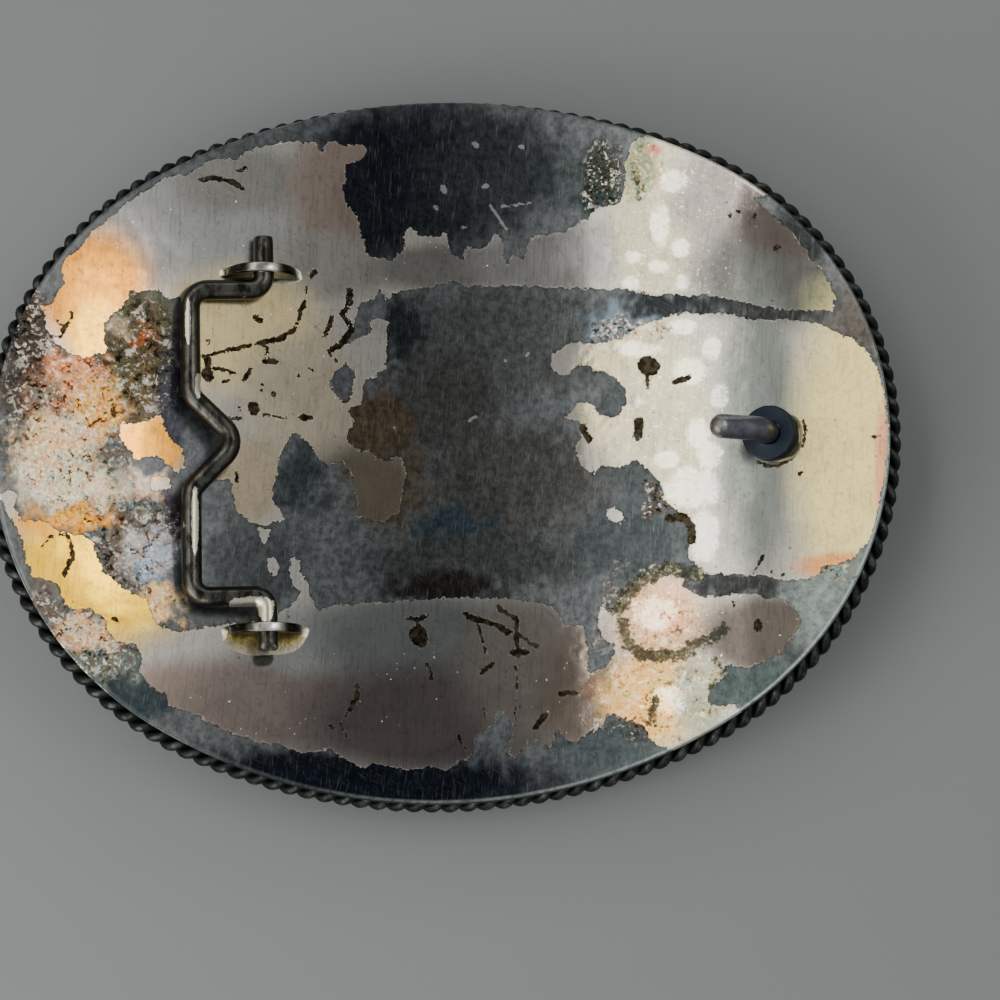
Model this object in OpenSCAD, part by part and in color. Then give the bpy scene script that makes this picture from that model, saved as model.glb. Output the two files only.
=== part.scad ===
// Western belt buckle, seen lying on its domed front: the dished plate with its soldered
// ears and hook stud, the twisted wire round its rim, and the wire bail that the belt loops over.
// +Z is up, out of the hollow back. +X runs from the bail to the stud, +Y across the belt.

/* [Plate] */
// Length over the rope edge
buckle_l = 128; // [115:0.1:140]
// Width over the rope edge
buckle_w = 103.2; // [99:0.1:108]
// Radius of the oval's two ends, over the rope edge
end_r = 48.1; // [44:0.1:49]
// Thickness of the plate
plate_t = 1.3; // [1:0.1:2]
// Radius of the dish along the buckle's length
dish_rx = 125; // [115:1:160]
// Radius of the dish across the buckle's width
dish_ry = 160; // [150:1:200]

/* [Rope edge] */
// Diameter over the twisted pair of wires
rope_d = 3.2; // [2.6:0.1:3.6]
// How much of the rope shows outside the plate at the oval's two ends
rope_show = 2; // [1.8:0.1:2.6]
// How much of the rope shows outside the plate at its two long sides
rope_show_side = 1.1; // [0.9:0.1:2]
// Number of knots round the rim
rope_knots = 144; // [100:2:160]

/* [Ears] */
// Distance from the middle of the plate to the foot of the ears
ear_x = 25.7; // [22:0.1:30]
// Half the distance between the two ears
ear_y = 25.8; // [25:0.1:28]
// How far the pair sits off the middle line
ear_shift = 0.4; // [0:0.1:1]
// Radius of the half-round ear
ear_r = 5.3; // [5:0.1:6]
// Thickness of the ear
ear_t = 1.3; // [1:0.1:1.6]
// Height of the hinge axis above the plate
pivot_h = 3.3; // [3:0.1:3.5]

/* [Bail] */
// Diameter of the bail's wire
wire_d = 2.9; // [2.6:0.1:3]
// Distance from the hinge axis to the belt bar
bail_reach = 10.5; // [9:0.1:12]
// Half the distance between the two arms
arm_y = 22.1; // [21.5:0.1:22.5]
// Half the length over the hinge pins
pin_end_y = 29.7; // [29:0.1:31]
// How far the bail has slid along its axis
bail_shift = 1.2; // [0.8:0.1:1.3]
// Depth of the square notch in the belt bar, to its sharp corner
notch_depth = 6.8; // [5:0.1:7]
// How far the bail lies off level, its corners resting on the rising plate
rest_lift = 2.5; // [2:0.1:5]

/* [Hook stud] */
// Distance from the middle of the plate to the foot of the stud
stud_x = 46.4; // [40:0.1:48]
// Diameter of the stud's foot
foot_d = 7.8; // [6:0.1:9]
// Height of the stud's foot
foot_h = 1.9; // [1:0.1:3]
// Diameter of the stud's rod
rod_d = 3.4; // [2.5:0.1:4]
// Straight rise of the rod out of the foot
rod_rise = 1.6; // [1:0.1:3]
// Radius of the rod's bend
rod_bend_r = 3; // [2.5:0.1:5]
// How far the rod bends towards the bail
rod_bend = 45; // [20:1:60]
// Straight length of the rod beyond its bend
rod_reach = 5.2; // [4:0.1:7]

/* [Hidden] */

// The dish's surfaces turn about a line along Y, this high
dish_axis_z = plate_t + dish_rx;
// Clearance between the rope and the plate
seam_gap = 0.05;
// Radial clearance of the hinge pins in the ears
hinge_gap = 0.06;
// How deep the ears and the stud are let into the plate
solder_depth = 0.6;
// Bend radius of the wire's middle at the pins' foot, at the arms' corners and round the notch
pin_bend_r = 1.8;
corner_bend_r = 2.5;
shoulder_bend_r = 3;
notch_bend_r = 2.9;
// Every bend is a hair thicker than its rod or wire, whose straight ends run a little way into it
bend_swell = 0.06;
bend_lap = 0.3;
// Taller than the whole buckle, and half the angle that the dish turns through
tall = 30;
dish_sweep = 36;

// Side radius of a four-arc oval, and the height of the side arcs' centres
function side_r(l, w, r) = (pow(l / 2 - r, 2) + w * w / 4 - r * r) / (w - 2 * r);
function side_k(l, w, r) = side_r(l, w, r) - w / 2;
// Angle from +X at which an end arc runs into a side arc
function join_angle(l, w, r) = atan2(side_k(l, w, r), l / 2 - r);

// Height of the dish, sunk by o below the back's surface, over the point x, y
function dish_ring(y, o) = dish_rx - dish_ry + sqrt(pow(dish_ry + o, 2) - y * y);
function dish_z(x, y, o = 0) = dish_axis_z - sqrt(pow(dish_ring(y, o), 2) - x * x);
// Unit normal of the same surface, pointing up into the hollow
function dish_lean(x, y, o = 0) = asin(x / dish_ring(y, o));
function dish_roll(y, o = 0) = asin(y / (dish_ry + o));
function dish_normal(x, y, o = 0) =
    [-sin(dish_lean(x, y, o)) * cos(dish_roll(y, o)),
     -sin(dish_roll(y, o)),
     cos(dish_lean(x, y, o)) * cos(dish_roll(y, o))];

// Outline of four arcs, smooth where they meet
module oval(l, w, r) {
    c = l / 2 - r;
    big = side_r(l, w, r);
    k = side_k(l, w, r);
    join_x = c + r * cos(join_angle(l, w, r));
    intersection() {
        translate([0, -k]) circle(big, $fn = 360);
        translate([0, k]) circle(big, $fn = 360);
        square([2 * join_x, 2 * w], center = true);
    }
    for (side = [-1, 1])
        translate([side * c, 0]) circle(r, $fn = 360);
}

// Sector of revolution whose lower side is the dish, o larger than the back's surface
module dish_body(o) {
    translate([0, 0, dish_axis_z])
        rotate([90, 0, 0])
            rotate([0, 0, -90 - dish_sweep])
                rotate_extrude(angle = 2 * dish_sweep, $fn = 360)
                    intersection() {
                        translate([dish_rx - dish_ry, 0]) circle(dish_ry + o, $fn = 360);
                        translate([dish_rx - tall, -buckle_w]) square([2 * tall, 2 * buckle_w]);
                    }
}

module dished_sheet() {
    difference() {
        intersection() {
            linear_extrude(tall)
                oval(buckle_l - 2 * rope_show, buckle_w - 2 * rope_show_side, end_r - rope_show);
            dish_body(plate_t);
        }
        dish_body(0);
    }
}

// Foot of an ear on the back's surface, and the axis of its hole
ear_lean = asin(ear_x / dish_ring(ear_y, 0));
ear_foot_z = dish_z(ear_x, ear_y);
pivot_x = -ear_x + pivot_h * sin(ear_lean);
pivot_z = ear_foot_z + pivot_h * cos(ear_lean);

module ear(side) {
    translate([-ear_x, ear_shift + side * ear_y, ear_foot_z])
        rotate([0, ear_lean, 0])
            difference() {
                rotate([90, 0, 0])
                    linear_extrude(ear_t, center = true) {
                        intersection() {
                            circle(ear_r, $fn = 96);
                            translate([-ear_r, 0]) square(2 * ear_r);
                        }
                        translate([-ear_r, -solder_depth]) square([2 * ear_r, solder_depth]);
                    }
                translate([0, 0, pivot_h])
                    rotate([90, 0, 0])
                        cylinder(h = 2 * ear_t, r = wire_d / 2 + hinge_gap, center = true, $fn = 96);
            }
}

// Rod with a round far end, standing on the origin
module round_ended_rod(length, d) {
    rotate_extrude($fn = 96) {
        square([d / 2, length]);
        translate([0, length]) intersection() {
            circle(d = d, $fn = 96);
            square(d);
        }
    }
}

// Round foot, and the rod that bends over towards the bail
module hook_stud() {
    translate([stud_x, 0, dish_z(stud_x, 0)])
        rotate([0, -dish_lean(stud_x, 0), 0]) {
            translate([0, 0, -solder_depth]) cylinder(h = foot_h + solder_depth, d = foot_d, $fn = 96);
            cylinder(h = foot_h + rod_rise + bend_lap, d = rod_d, $fn = 96);
            translate([-rod_bend_r, 0, foot_h + rod_rise]) {
                rotate([90, 0, 0])
                    rotate_extrude(angle = rod_bend, $fn = 96)
                        translate([rod_bend_r, 0]) circle(d = rod_d + bend_swell, $fn = 96);
                rotate([0, -rod_bend, 0])
                    translate([rod_bend_r, 0, -bend_lap])
                        round_ended_rod(rod_reach + bend_lap, rod_d);
            }
        }
}

module plate() {
    color("silver") {
        dished_sheet();
        for (side = [-1, 1]) ear(side);
        hook_stud();
    }
}

// Points of the rope's middle line in plan, t running from 0 to 1 once round
rim_l = buckle_l - rope_d;
rim_w = buckle_w - rope_d;
rim_r = end_r - rope_d / 2;
rim_side_r = side_r(rim_l, rim_w, rim_r);
rim_join = join_angle(rim_l, rim_w, rim_r);
end_len = rim_r * rim_join * PI / 180;
side_len = rim_side_r * (90 - rim_join) * PI / 180;
quarter_len = end_len + side_len;

// Point on the first quarter, s along the rim from the right-hand end
function quarter_point(s) =
    s < end_len
    ? let (a = s / rim_r * 180 / PI) [rim_l / 2 - rim_r + rim_r * cos(a), rim_r * sin(a)]
    : let (a = rim_join + (s - end_len) / rim_side_r * 180 / PI)
      [rim_side_r * cos(a), rim_side_r * sin(a) - side_k(rim_l, rim_w, rim_r)];
function rim_point(t) =
    let (s = (t - floor(t)) * 4 * quarter_len, q = floor(s / quarter_len), rest = s - q * quarter_len)
    q == 0 ? quarter_point(rest)
    : q == 1 ? let (p = quarter_point(quarter_len - rest)) [-p[0], p[1]]
    : q == 2 ? -quarter_point(rest)
    : let (p = quarter_point(quarter_len - rest)) [p[0], -p[1]];

rope_drop = plate_t + seam_gap + rope_d / 2;
function rope_centre(t) =
    let (p = rim_point(t)) [p[0], p[1], dish_z(p[0], p[1], rope_drop)];

// One ring of the rope: two touching wires, as the angle round the rope and the radius there
steps_per_knot = 4;
strand = [[0, rope_d / 2], [41, 0.39 * rope_d], [90, 0.14 * rope_d], [139, 0.39 * rope_d]];
ring_size = 2 * len(strand);
ring_count = rope_knots * steps_per_knot;
function unit(v) = v / norm(v);
function rope_ring(i) =
    let (t = i / ring_count,
         c = rope_centre(t),
         along = unit(rope_centre(t + 0.001) - rope_centre(t - 0.001)),
         up = dish_normal(c[0], c[1], rope_drop),
         out = cross(along, up),
         turn = 180 * i / steps_per_knot)
    [for (half = [0, 180]) for (s = strand)
        c + s[1] * (cos(turn + half + s[0]) * out + sin(turn + half + s[0]) * up)];

module rope_edge() {
    points = [for (i = [0:ring_count - 1]) each rope_ring(i)];
    faces = [for (i = [0:ring_count - 1]) for (j = [0:ring_size - 1])
        let (a = i * ring_size + j,
             b = i * ring_size + (j + 1) % ring_size,
             next = (i + 1) % ring_count,
             c = next * ring_size + (j + 1) % ring_size,
             d = next * ring_size + j)
        each [[a, b, c], [a, c, d]]];
    color("dimgray") polyhedron(points, faces);
}

// Round wire along corners given as [x, y, bend radius]; the first and last are its ends
function corner_turn(path, i) =
    let (a = unit(xy(path[i]) - xy(path[i - 1])), b = unit(xy(path[i + 1]) - xy(path[i])))
    atan2(a[0] * b[1] - a[1] * b[0], a * b);
function xy(p) = [p[0], p[1]];
function is_end(path, i) = i == 0 || i == len(path) - 1;
function setback(path, i) = path[i][2] * tan(abs(corner_turn(path, i)) / 2);
// How far from a corner the straight wire stops, inside the bend
function trim(path, i) = is_end(path, i) ? 0 : setback(path, i) - bend_lap;

module wire_straight(from, to, d) {
    run = to - from;
    translate([from[0], from[1], 0])
        rotate([0, 0, atan2(run[1], run[0])])
            rotate([0, 90, 0])
                cylinder(h = norm(run), d = d, $fn = 64);
}

module wire_bend(at, heading, turn, r, d) {
    side = sign(turn);
    start = at + r * side * [-sin(heading), cos(heading)];
    translate([start[0], start[1], 0])
        rotate([0, 0, side > 0 ? heading - 90 : heading + 90 + turn])
            rotate_extrude(angle = abs(turn), $fn = 128)
                translate([r, 0]) circle(d = d + bend_swell, $fn = 64);
}

module wire(path, d) {
    for (i = [0:len(path) - 2]) {
        run = unit(xy(path[i + 1]) - xy(path[i]));
        wire_straight(xy(path[i]) + trim(path, i) * run,
                      xy(path[i + 1]) - trim(path, i + 1) * run, d);
    }
    for (i = [1:len(path) - 2]) {
        run = unit(xy(path[i]) - xy(path[i - 1]));
        wire_bend(xy(path[i]) - setback(path, i) * run, atan2(run[1], run[0]),
                  corner_turn(path, i), path[i][2], d);
    }
}

bail_half = [
    [0, pin_end_y, 0],
    [0, arm_y, pin_bend_r],
    [-bail_reach, arm_y, corner_bend_r],
    [-bail_reach, notch_depth, shoulder_bend_r]
];
bail_path = concat(
    bail_half,
    [[notch_depth - bail_reach, 0, notch_bend_r]],
    [for (i = [len(bail_half) - 1:-1:0]) [bail_half[i][0], -bail_half[i][1], bail_half[i][2]]]
);

module bail() {
    color("gray")
        translate([pivot_x, bail_shift, pivot_z])
            rotate([0, rest_lift, 0])
                wire(bail_path, wire_d);
}

plate();
rope_edge();
bail();
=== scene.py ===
import math

import bpy
import numpy as np
from mathutils import Matrix


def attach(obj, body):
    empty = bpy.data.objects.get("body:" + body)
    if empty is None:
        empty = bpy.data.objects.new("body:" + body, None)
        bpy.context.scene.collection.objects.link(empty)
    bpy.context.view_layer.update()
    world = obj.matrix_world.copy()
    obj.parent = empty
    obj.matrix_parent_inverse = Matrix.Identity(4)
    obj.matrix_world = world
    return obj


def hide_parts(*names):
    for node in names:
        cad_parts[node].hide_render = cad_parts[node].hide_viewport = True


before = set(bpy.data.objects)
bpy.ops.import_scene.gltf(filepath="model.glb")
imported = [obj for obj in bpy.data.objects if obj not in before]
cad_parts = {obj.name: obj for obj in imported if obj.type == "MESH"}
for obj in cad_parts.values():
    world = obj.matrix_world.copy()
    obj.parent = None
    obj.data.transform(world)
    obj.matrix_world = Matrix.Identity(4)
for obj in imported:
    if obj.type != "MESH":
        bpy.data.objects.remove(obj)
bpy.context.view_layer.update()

bl_info = {
    "name": "Western belt buckle",
    "version": (1, 0, 0),
    "blender": (4, 5, 0),
    "location": "3D View > Sidebar > Buckle",
    "description": "Dished and tarnished trophy buckle with a rope edge, a wire bail and a hook stud",
    "category": "Add Mesh",
}

MM = 0.001

# Where the camera stood, found from the rim's and the fittings' places: the point it looks at,
# its distance, its lean from straight above and how far it is turned
SHOT_AIM = (0.00793, -0.00653, 0.0)
SHOT_DISTANCE = 0.350
SHOT_LEAN_X = -0.51
SHOT_LEAN_Y = 9.95
SHOT_TURN = 1.58
SHOT_PIXELS_PER_METRE = 6915.0
PHOTO_MIDDLE = 500.0
PHOTO_WIDTH = 1000.0
SENSOR = 36.0

# The chart of the hollow side, made in pixels of the photograph. The first outlines enclose the
# metal that has lost its plating. Where one leaves the plate, it runs round outside the rim.
TOP_BLACK = [
    (300, 142), (314, 142), (321, 155), (327, 144), (334, 140), (345, 146), (365, 144), (367, 152),
    (364, 160), (346, 165), (346, 179), (341, 188), (345, 204), (357, 213), (360, 233), (365, 246),
    (369, 256), (394, 262), (398, 255), (404, 251), (405, 233), (412, 228), (420, 236), (434, 238),
    (446, 233), (448, 248), (454, 257), (465, 262), (467, 246), (483, 251), (492, 242), (490, 235),
    (497, 233), (504, 246), (503, 259), (509, 266), (512, 255), (523, 261), (527, 244), (537, 236),
    (566, 233), (577, 224), (590, 217), (595, 208), (617, 205), (624, 193), (626, 164), (630, 145),
    (640, 138), (690, 120), (600, 80), (400, 80), (280, 110),
]
UPPER_LEFT_RIM = [
    (316, 143), (284, 142), (263, 147), (250, 151), (234, 161), (223, 157), (206, 163), (185, 176),
    (179, 174), (164, 180), (147, 190), (126, 205), (114, 216), (95, 230), (84, 243), (70, 256),
    (61, 266), (64, 281), (57, 296), (50, 306), (43, 307), (-40, 330), (-40, 100), (280, 70),
]
LEFT_WORN = [
    (43, 307), (46, 330), (56, 344), (70, 352), (84, 358), (96, 352), (105, 352), (106, 344),
    (103, 338), (104, 323), (109, 317), (118, 310), (126, 302), (130, 290), (137, 293), (147, 290),
    (158, 289), (163, 295), (168, 299), (181, 297), (196, 300), (198, 385), (206, 402), (228, 420),
    (236, 441), (228, 462), (208, 480), (231, 479), (234, 494), (236, 510), (250, 521), (263, 525),
    (300, 525), (300, 610), (262, 622), (229, 624), (210, 627), (179, 633), (168, 630), (156, 624),
    (148, 605), (145, 597), (135, 595), (118, 584), (103, 571), (96, 559), (93, 542), (84, 536),
    (63, 533), (38, 519), (23, 521), (15, 508), (16, 496), (8, 490), (2, 494), (-60, 500), (-60, 200),
    (0, 280),
]
MIDDLE_WORN = [
    (258, 525), (263, 525), (271, 523), (284, 519), (276, 506), (271, 498), (276, 479), (280, 454),
    (288, 437), (299, 433), (309, 443), (320, 458), (330, 466), (342, 460), (354, 480), (358, 507),
    (356, 515), (371, 520), (385, 522), (400, 511), (403, 493), (405, 471), (400, 457), (389, 460),
    (374, 457), (367, 449), (356, 449), (345, 440), (354, 420), (347, 411), (361, 404), (364, 382),
    (374, 377), (385, 368), (387, 344), (387, 322), (378, 318), (372, 322), (370, 332), (362, 338),
    (350, 343), (344, 346), (334, 353), (327, 355), (330, 346), (342, 340), (352, 330), (356, 318),
    (360, 303), (375, 299), (381, 289), (386, 300), (392, 292), (405, 290), (430, 287), (452, 281),
    (468, 287), (490, 286), (530, 286), (565, 288), (600, 288), (619, 289), (657, 295), (676, 295),
    (700, 296), (700, 312), (672, 316), (655, 320), (640, 326), (619, 339), (597, 344), (577, 341),
    (563, 347), (552, 355), (551, 366), (559, 375), (568, 376), (577, 366), (588, 362), (592, 371),
    (612, 374), (624, 388), (628, 399), (621, 413), (610, 418), (599, 415), (592, 404), (577, 402),
    (572, 413), (563, 418), (579, 420), (584, 431), (577, 444), (577, 455), (584, 466), (595, 474),
    (604, 464), (619, 467), (635, 461), (650, 471), (660, 482), (663, 492), (665, 503), (680, 513),
    (692, 525), (694, 542), (687, 548), (690, 560), (700, 566), (700, 590), (672, 572), (650, 573),
    (635, 583), (621, 600), (619, 611), (614, 618), (600, 604), (599, 634), (614, 644), (615, 654),
    (604, 670), (588, 672), (588, 657), (586, 641), (583, 626), (565, 626), (560, 618), (553, 608),
    (540, 603), (519, 601), (499, 598), (463, 598), (443, 598), (402, 602), (366, 602), (348, 606),
    (336, 604), (320, 612), (300, 610), (262, 600),
]
UPPER_RIGHT_RIM = [
    (690, 295), (707, 295), (722, 298), (745, 303), (772, 308), (803, 310), (832, 311), (835, 299),
    (831, 287), (826, 276), (820, 266), (808, 259), (808, 251), (799, 242), (787, 228), (772, 215),
    (761, 207), (752, 198), (790, 190), (880, 250), (930, 340), (930, 480), (885, 474), (888, 440),
    (885, 395), (877, 368), (866, 352), (856, 341), (837, 332), (822, 326), (803, 322), (784, 320),
    (757, 319), (722, 314), (690, 312),
]
LOWER_RIGHT_RIM = [
    (724, 666), (740, 667), (754, 666), (763, 662), (775, 656), (783, 651), (791, 639), (796, 631),
    (802, 623), (799, 615), (791, 604), (775, 599), (758, 595), (740, 594), (720, 596), (700, 597),
    (680, 586), (690, 572), (719, 574), (750, 575), (770, 576), (782, 580), (808, 579), (819, 573),
    (823, 565), (837, 565), (853, 557), (869, 540), (877, 518), (885, 474), (930, 474), (930, 640),
    (840, 740), (760, 790), (720, 800), (715, 735), (745, 718), (735, 705), (713, 707), (707, 699),
    (711, 687), (723, 675),
]
BOTTOM_BLACK = [
    (-60, 500), (2, 500), (14, 522), (21, 538), (27, 563), (32, 576), (53, 580), (61, 590), (65, 605),
    (74, 609), (90, 609), (105, 618), (111, 635), (118, 641), (137, 645), (141, 660), (140, 673),
    (151, 687), (166, 694), (168, 704), (183, 710), (202, 715), (205, 721), (221, 727), (234, 734),
    (246, 736), (257, 741), (280, 744), (295, 751), (316, 753), (333, 749), (341, 756), (354, 764),
    (366, 768), (374, 763), (410, 770), (428, 765), (445, 770), (468, 759), (473, 749), (476, 736),
    (489, 728), (494, 718), (501, 712), (513, 723), (512, 739), (508, 751), (514, 759), (527, 744),
    (540, 739), (551, 749), (555, 728), (565, 739), (578, 741), (601, 726), (606, 713), (612, 714),
    (639, 723), (650, 736), (657, 745), (700, 760), (600, 860), (300, 850), (0, 740),
]
KITE = [(347, 364), (355, 373), (352, 395), (346, 405), (336, 397), (328, 382), (336, 370)]
WORN_AREAS = [
    TOP_BLACK, UPPER_LEFT_RIM, LEFT_WORN, MIDDLE_WORN, UPPER_RIGHT_RIM, LOWER_RIGHT_RIM, BOTTOM_BLACK,
    KITE,
]
# Plating left standing inside the worn areas
PLATING_ISLANDS = [
    [(606, 509), (614, 507), (622, 513), (626, 518), (620, 523), (609, 521)],
    [
        (121, 422), (135, 424), (160, 416), (168, 435), (181, 449), (185, 466), (179, 473), (168, 466),
        (160, 458), (135, 457), (126, 447), (120, 435),
    ],
    [
        (291, 557), (299, 561), (303, 578), (309, 590), (318, 614), (318, 640), (280, 640), (278, 614),
        (286, 609), (299, 599), (301, 590), (292, 584), (290, 572),
    ],
    [(268, 557), (274, 558), (279, 568), (276, 576), (270, 570)],
    [(257, 529), (269, 530), (266, 540), (264, 546), (260, 538)],
    [(150, 478), (168, 477), (170, 488), (160, 491), (150, 488)],
]
# Dark scars, most of them on the plating: the width of each and the places it runs through. The
# last one is the dark line round the stud's solder.
SCARS = [
    (5, (202, 180), (213, 178), (225, 180), (236, 184), (243, 190)), (4, (238, 171), (246, 168)),
    (3, (203, 356), (262, 343)), (5, (262, 343), (284, 337), (294, 329)),
    (3, (294, 329), (298, 322), (301, 311)), (5, (299, 311), (303, 306)), (2, (303, 306), (307, 287)),
    (4, (264, 344), (268, 352), (266, 355)), (6, (312, 275), (315, 272)), (5, (255, 317), (261, 321)),
    (7, (208, 360), (208, 378)), (9, (206, 372), (208, 378)), (3, (212, 368), (226, 370), (235, 374)),
    (2, (212, 330), (212, 333)), (2, (208, 341), (208, 349)), (6, (265, 361), (275, 362)),
    (4, (251, 369), (244, 379)), (4, (223, 382), (229, 380)), (11, (253, 407), (254, 410)),
    (3, (239, 409), (243, 409)), (3, (264, 415), (275, 417), (286, 418)), (5, (301, 417), (312, 418)),
    (3, (310, 369), (314, 371)), (2, (299, 375), (301, 377)), (3, (262, 384), (261, 391)),
    (3, (274, 392), (274, 397)), (3, (230, 418), (240, 419)), (3, (238, 471), (236, 482)),
    (2, (330, 353), (338, 362)),
    (6, (350, 290), (350, 303), (342, 315), (352, 328), (344, 341), (330, 352)),
    (5, (331, 317), (330, 325), (324, 337)), (18, (418, 634), (420, 638)),
    (4, (406, 617), (418, 620), (427, 616)), (4, (357, 685), (357, 698), (346, 715)),
    (3, (427, 664), (431, 670), (431, 680)), (5, (482, 673), (493, 663)),
    (6, (466, 615), (480, 620), (494, 624), (508, 632)), (3, (478, 624), (482, 639), (486, 652)),
    (5, (499, 608), (517, 619), (516, 636), (518, 656)), (4, (518, 634), (530, 643), (539, 646)),
    (6, (512, 652), (528, 652)), (5, (560, 694), (575, 693)), (6, (536, 727), (545, 715)),
    (4, (458, 736), (466, 749)), (3, (484, 708), (487, 718)), (3, (341, 723), (346, 736)),
    (4, (330, 727), (335, 729)), (2, (516, 665), (517, 690)), (2, (516, 700), (515, 725)),
    (19, (647, 365), (650, 367)), (4, (648, 372), (647, 387)), (5, (674, 382), (689, 377)),
    (9, (639, 421), (638, 436)), (7, (583, 428), (589, 440)),
    (8, (669, 518), (683, 516), (692, 527), (692, 541)), (2, (752, 574), (763, 556)),
    (4, (798, 475), (800, 473)), (3, (771, 572), (773, 571)), (3, (782, 575), (784, 574)),
    (3, (873, 437), (880, 436)), (4, (730, 214), (730, 217)), (3, (738, 211), (739, 212)),
    (4, (754, 215), (754, 217)), (5, (776, 248), (780, 246)), (7, (757, 622), (758, 628)),
    (3, (733, 602), (734, 606)), (3, (113, 618), (118, 621)),
    (3, (72, 313), (70, 322), (64, 327), (56, 320)), (3, (64, 327), (60, 338), (50, 336)),
    (2, (40, 548), (50, 537), (66, 534), (72, 552), (66, 570)), (3, (68, 534), (74, 556), (64, 576)),
    (3, (803, 420), (806, 432), (802, 446), (793, 457), (780, 465), (768, 466), (757, 461)),
]
# Small flakes of plating left on the worn metal, and bright scratches in it, written like the scars
FLAKES_LEFT = [
    (4, (474, 144), (477, 146)), (3, (520, 146), (523, 148)), (5, (443, 188), (445, 191)),
    (4, (484, 186), (487, 186)), (3, (435, 207), (437, 209)), (2, (490, 205), (507, 230)),
    (2, (500, 207), (530, 203)), (3, (462, 228), (466, 226)), (2, (470, 420), (476, 417)),
    (2, (505, 361), (508, 360)), (2, (526, 355), (528, 353)), (2, (394, 428), (395, 430)),
]
# Olive crust, written like the scars: a ring round the pale patch at the lower right, short runs
# beside it and one near the rim at the upper right
CRUSTS = [
    (13, (620, 611), (627, 595), (642, 580), (668, 569), (700, 575)),
    (12, (622, 622), (628, 645), (642, 656), (670, 655), (690, 652)),
    (10, (690, 645), (712, 640), (724, 628)), (5, (716, 660), (724, 672), (711, 688)),
    (8, (655, 700), (650, 725)), (5, (634, 170), (640, 200)),
]
# Colours of the worn metal: middle, half width, half height and colour of each soft patch. The
# patches are painted in this order over the ground colour. Besides patina and corrosion, the pale
# creams at the left are partly a painted reflection of a lamp.
WORN_GROUND = "6a6e70"
WORN_TINTS_AND_REFLECTIONS = [
    (420, 180, 110, 80, "2b3036"), (370, 190, 40, 80, "20242c"), (500, 170, 70, 50, "3a3f42"),
    (598, 180, 28, 40, "3c4644"), (520, 340, 120, 60, "565958"), (405, 335, 22, 42, "2c3034"),
    (440, 400, 60, 50, "4c4d4b"), (372, 430, 46, 44, "5a4e3e"), (390, 485, 40, 46, "584f41"),
    (520, 480, 100, 60, "51514e"), (640, 430, 40, 80, "4e5355"), (455, 530, 44, 22, "3a4650"),
    (480, 560, 120, 30, "4a4e4c"), (440, 588, 60, 18, "2b2927"), (625, 325, 40, 22, "7d8c9a"),
    (630, 540, 60, 40, "4c5254"), (255, 560, 50, 40, "505456"), (300, 480, 25, 40, "42484b"),
    (140, 350, 44, 80, "5a5746"), (128, 400, 24, 28, "6a6756"), (120, 328, 12, 10, "a89f88"),
    (141, 338, 13, 9, "a0603c"), (172, 400, 16, 70, "40434b"), (20, 350, 40, 70, "4a4644"),
    (50, 400, 26, 34, "8f7f72"), (74, 372, 30, 26, "f4b488"), (98, 410, 28, 34, "f8c87c"),
    (55, 448, 40, 36, "fae6be"), (70, 486, 60, 24, "f4eed4"), (150, 484, 25, 14, "f4dcc4"),
    (72, 520, 44, 13, "ffbc4c"), (175, 515, 16, 36, "4a484f"), (120, 528, 13, 24, "6a6a62"),
    (150, 552, 28, 26, "bcc8da"), (160, 606, 22, 20, "f6e2b0"), (40, 596, 26, 26, "6e6864"),
    (88, 636, 30, 20, "e6cfb0"), (105, 668, 46, 20, "6e7876"), (135, 698, 40, 24, "39454a"),
    (330, 785, 260, 36, "141a26"), (605, 745, 55, 26, "4c5557"), (690, 720, 40, 20, "c8cdbe"),
    (840, 600, 60, 50, "8d9996"), (775, 690, 70, 36, "525f5e"), (740, 585, 50, 14, "3c3e3e"),
    (680, 303, 60, 14, "2e3134"), (770, 312, 60, 14, "363838"), (858, 318, 28, 36, "66625e"),
    (800, 235, 30, 40, "3c4141"), (895, 430, 14, 150, "3a3c3c"),
]
# Colours of the plating, written the same way. Besides tarnish tones they hold painted reflections of
# the room: the cream band at the right, the pale band under the strip lamp and the darker plating
# towards the bottom.
PLATING_GROUND = "c9c4ba"
PLATING_TINTS_AND_REFLECTIONS = [
    (190, 230, 140, 80, "b4b3ae"), (240, 180, 70, 34, "9a9890"), (90, 285, 64, 60, "d89238"),
    (95, 335, 30, 36, "f0b848"), (340, 190, 55, 70, "a69589"), (330, 265, 70, 34, "aaa69e"),
    (240, 330, 80, 64, "ffe8ac"), (300, 400, 60, 70, "d0c4aa"), (365, 490, 60, 50, "7c7364"),
    (250, 480, 34, 44, "c4b496"), (440, 268, 70, 24, "8b8982"), (540, 262, 70, 30, "a8a6a2"),
    (590, 250, 44, 30, "b4b2ae"), (655, 230, 44, 90, "d6cfb0"), (638, 165, 18, 36, "98a080"),
    (653, 150, 9, 6, "d8947c"), (720, 200, 56, 44, "a89e98"), (770, 275, 84, 54, "666663"),
    (785, 225, 50, 34, "5e5550"), (820, 295, 24, 20, "83836f"), (620, 390, 46, 70, "eee2b8"),
    (665, 430, 44, 110, "dcd6b4"), (757, 430, 40, 160, "848882"), (850, 450, 60, 150, "f8e6a4"),
    (845, 566, 50, 14, "f0a870"), (884, 470, 9, 70, "ecb08c"), (220, 655, 90, 40, "cac8be"),
    (180, 700, 90, 40, "ae9c8e"), (300, 700, 130, 60, "8f827a"), (320, 640, 80, 36, "aaaca6"),
    (415, 640, 110, 50, "808481"), (440, 720, 150, 60, "6a6260"), (530, 670, 70, 80, "8a837b"),
    (580, 690, 40, 60, "7e7268"), (593, 690, 12, 14, "80695a"), (660, 620, 48, 48, "f2c8a0"),
    (650, 700, 48, 48, "fdd07c"), (770, 635, 76, 46, "665e58"), (700, 695, 30, 40, "b4b8a0"),
    (90, 580, 110, 70, "ffcc34"), (45, 520, 30, 16, "fcb040"), (150, 445, 40, 36, "f0a83c"),
]
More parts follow.
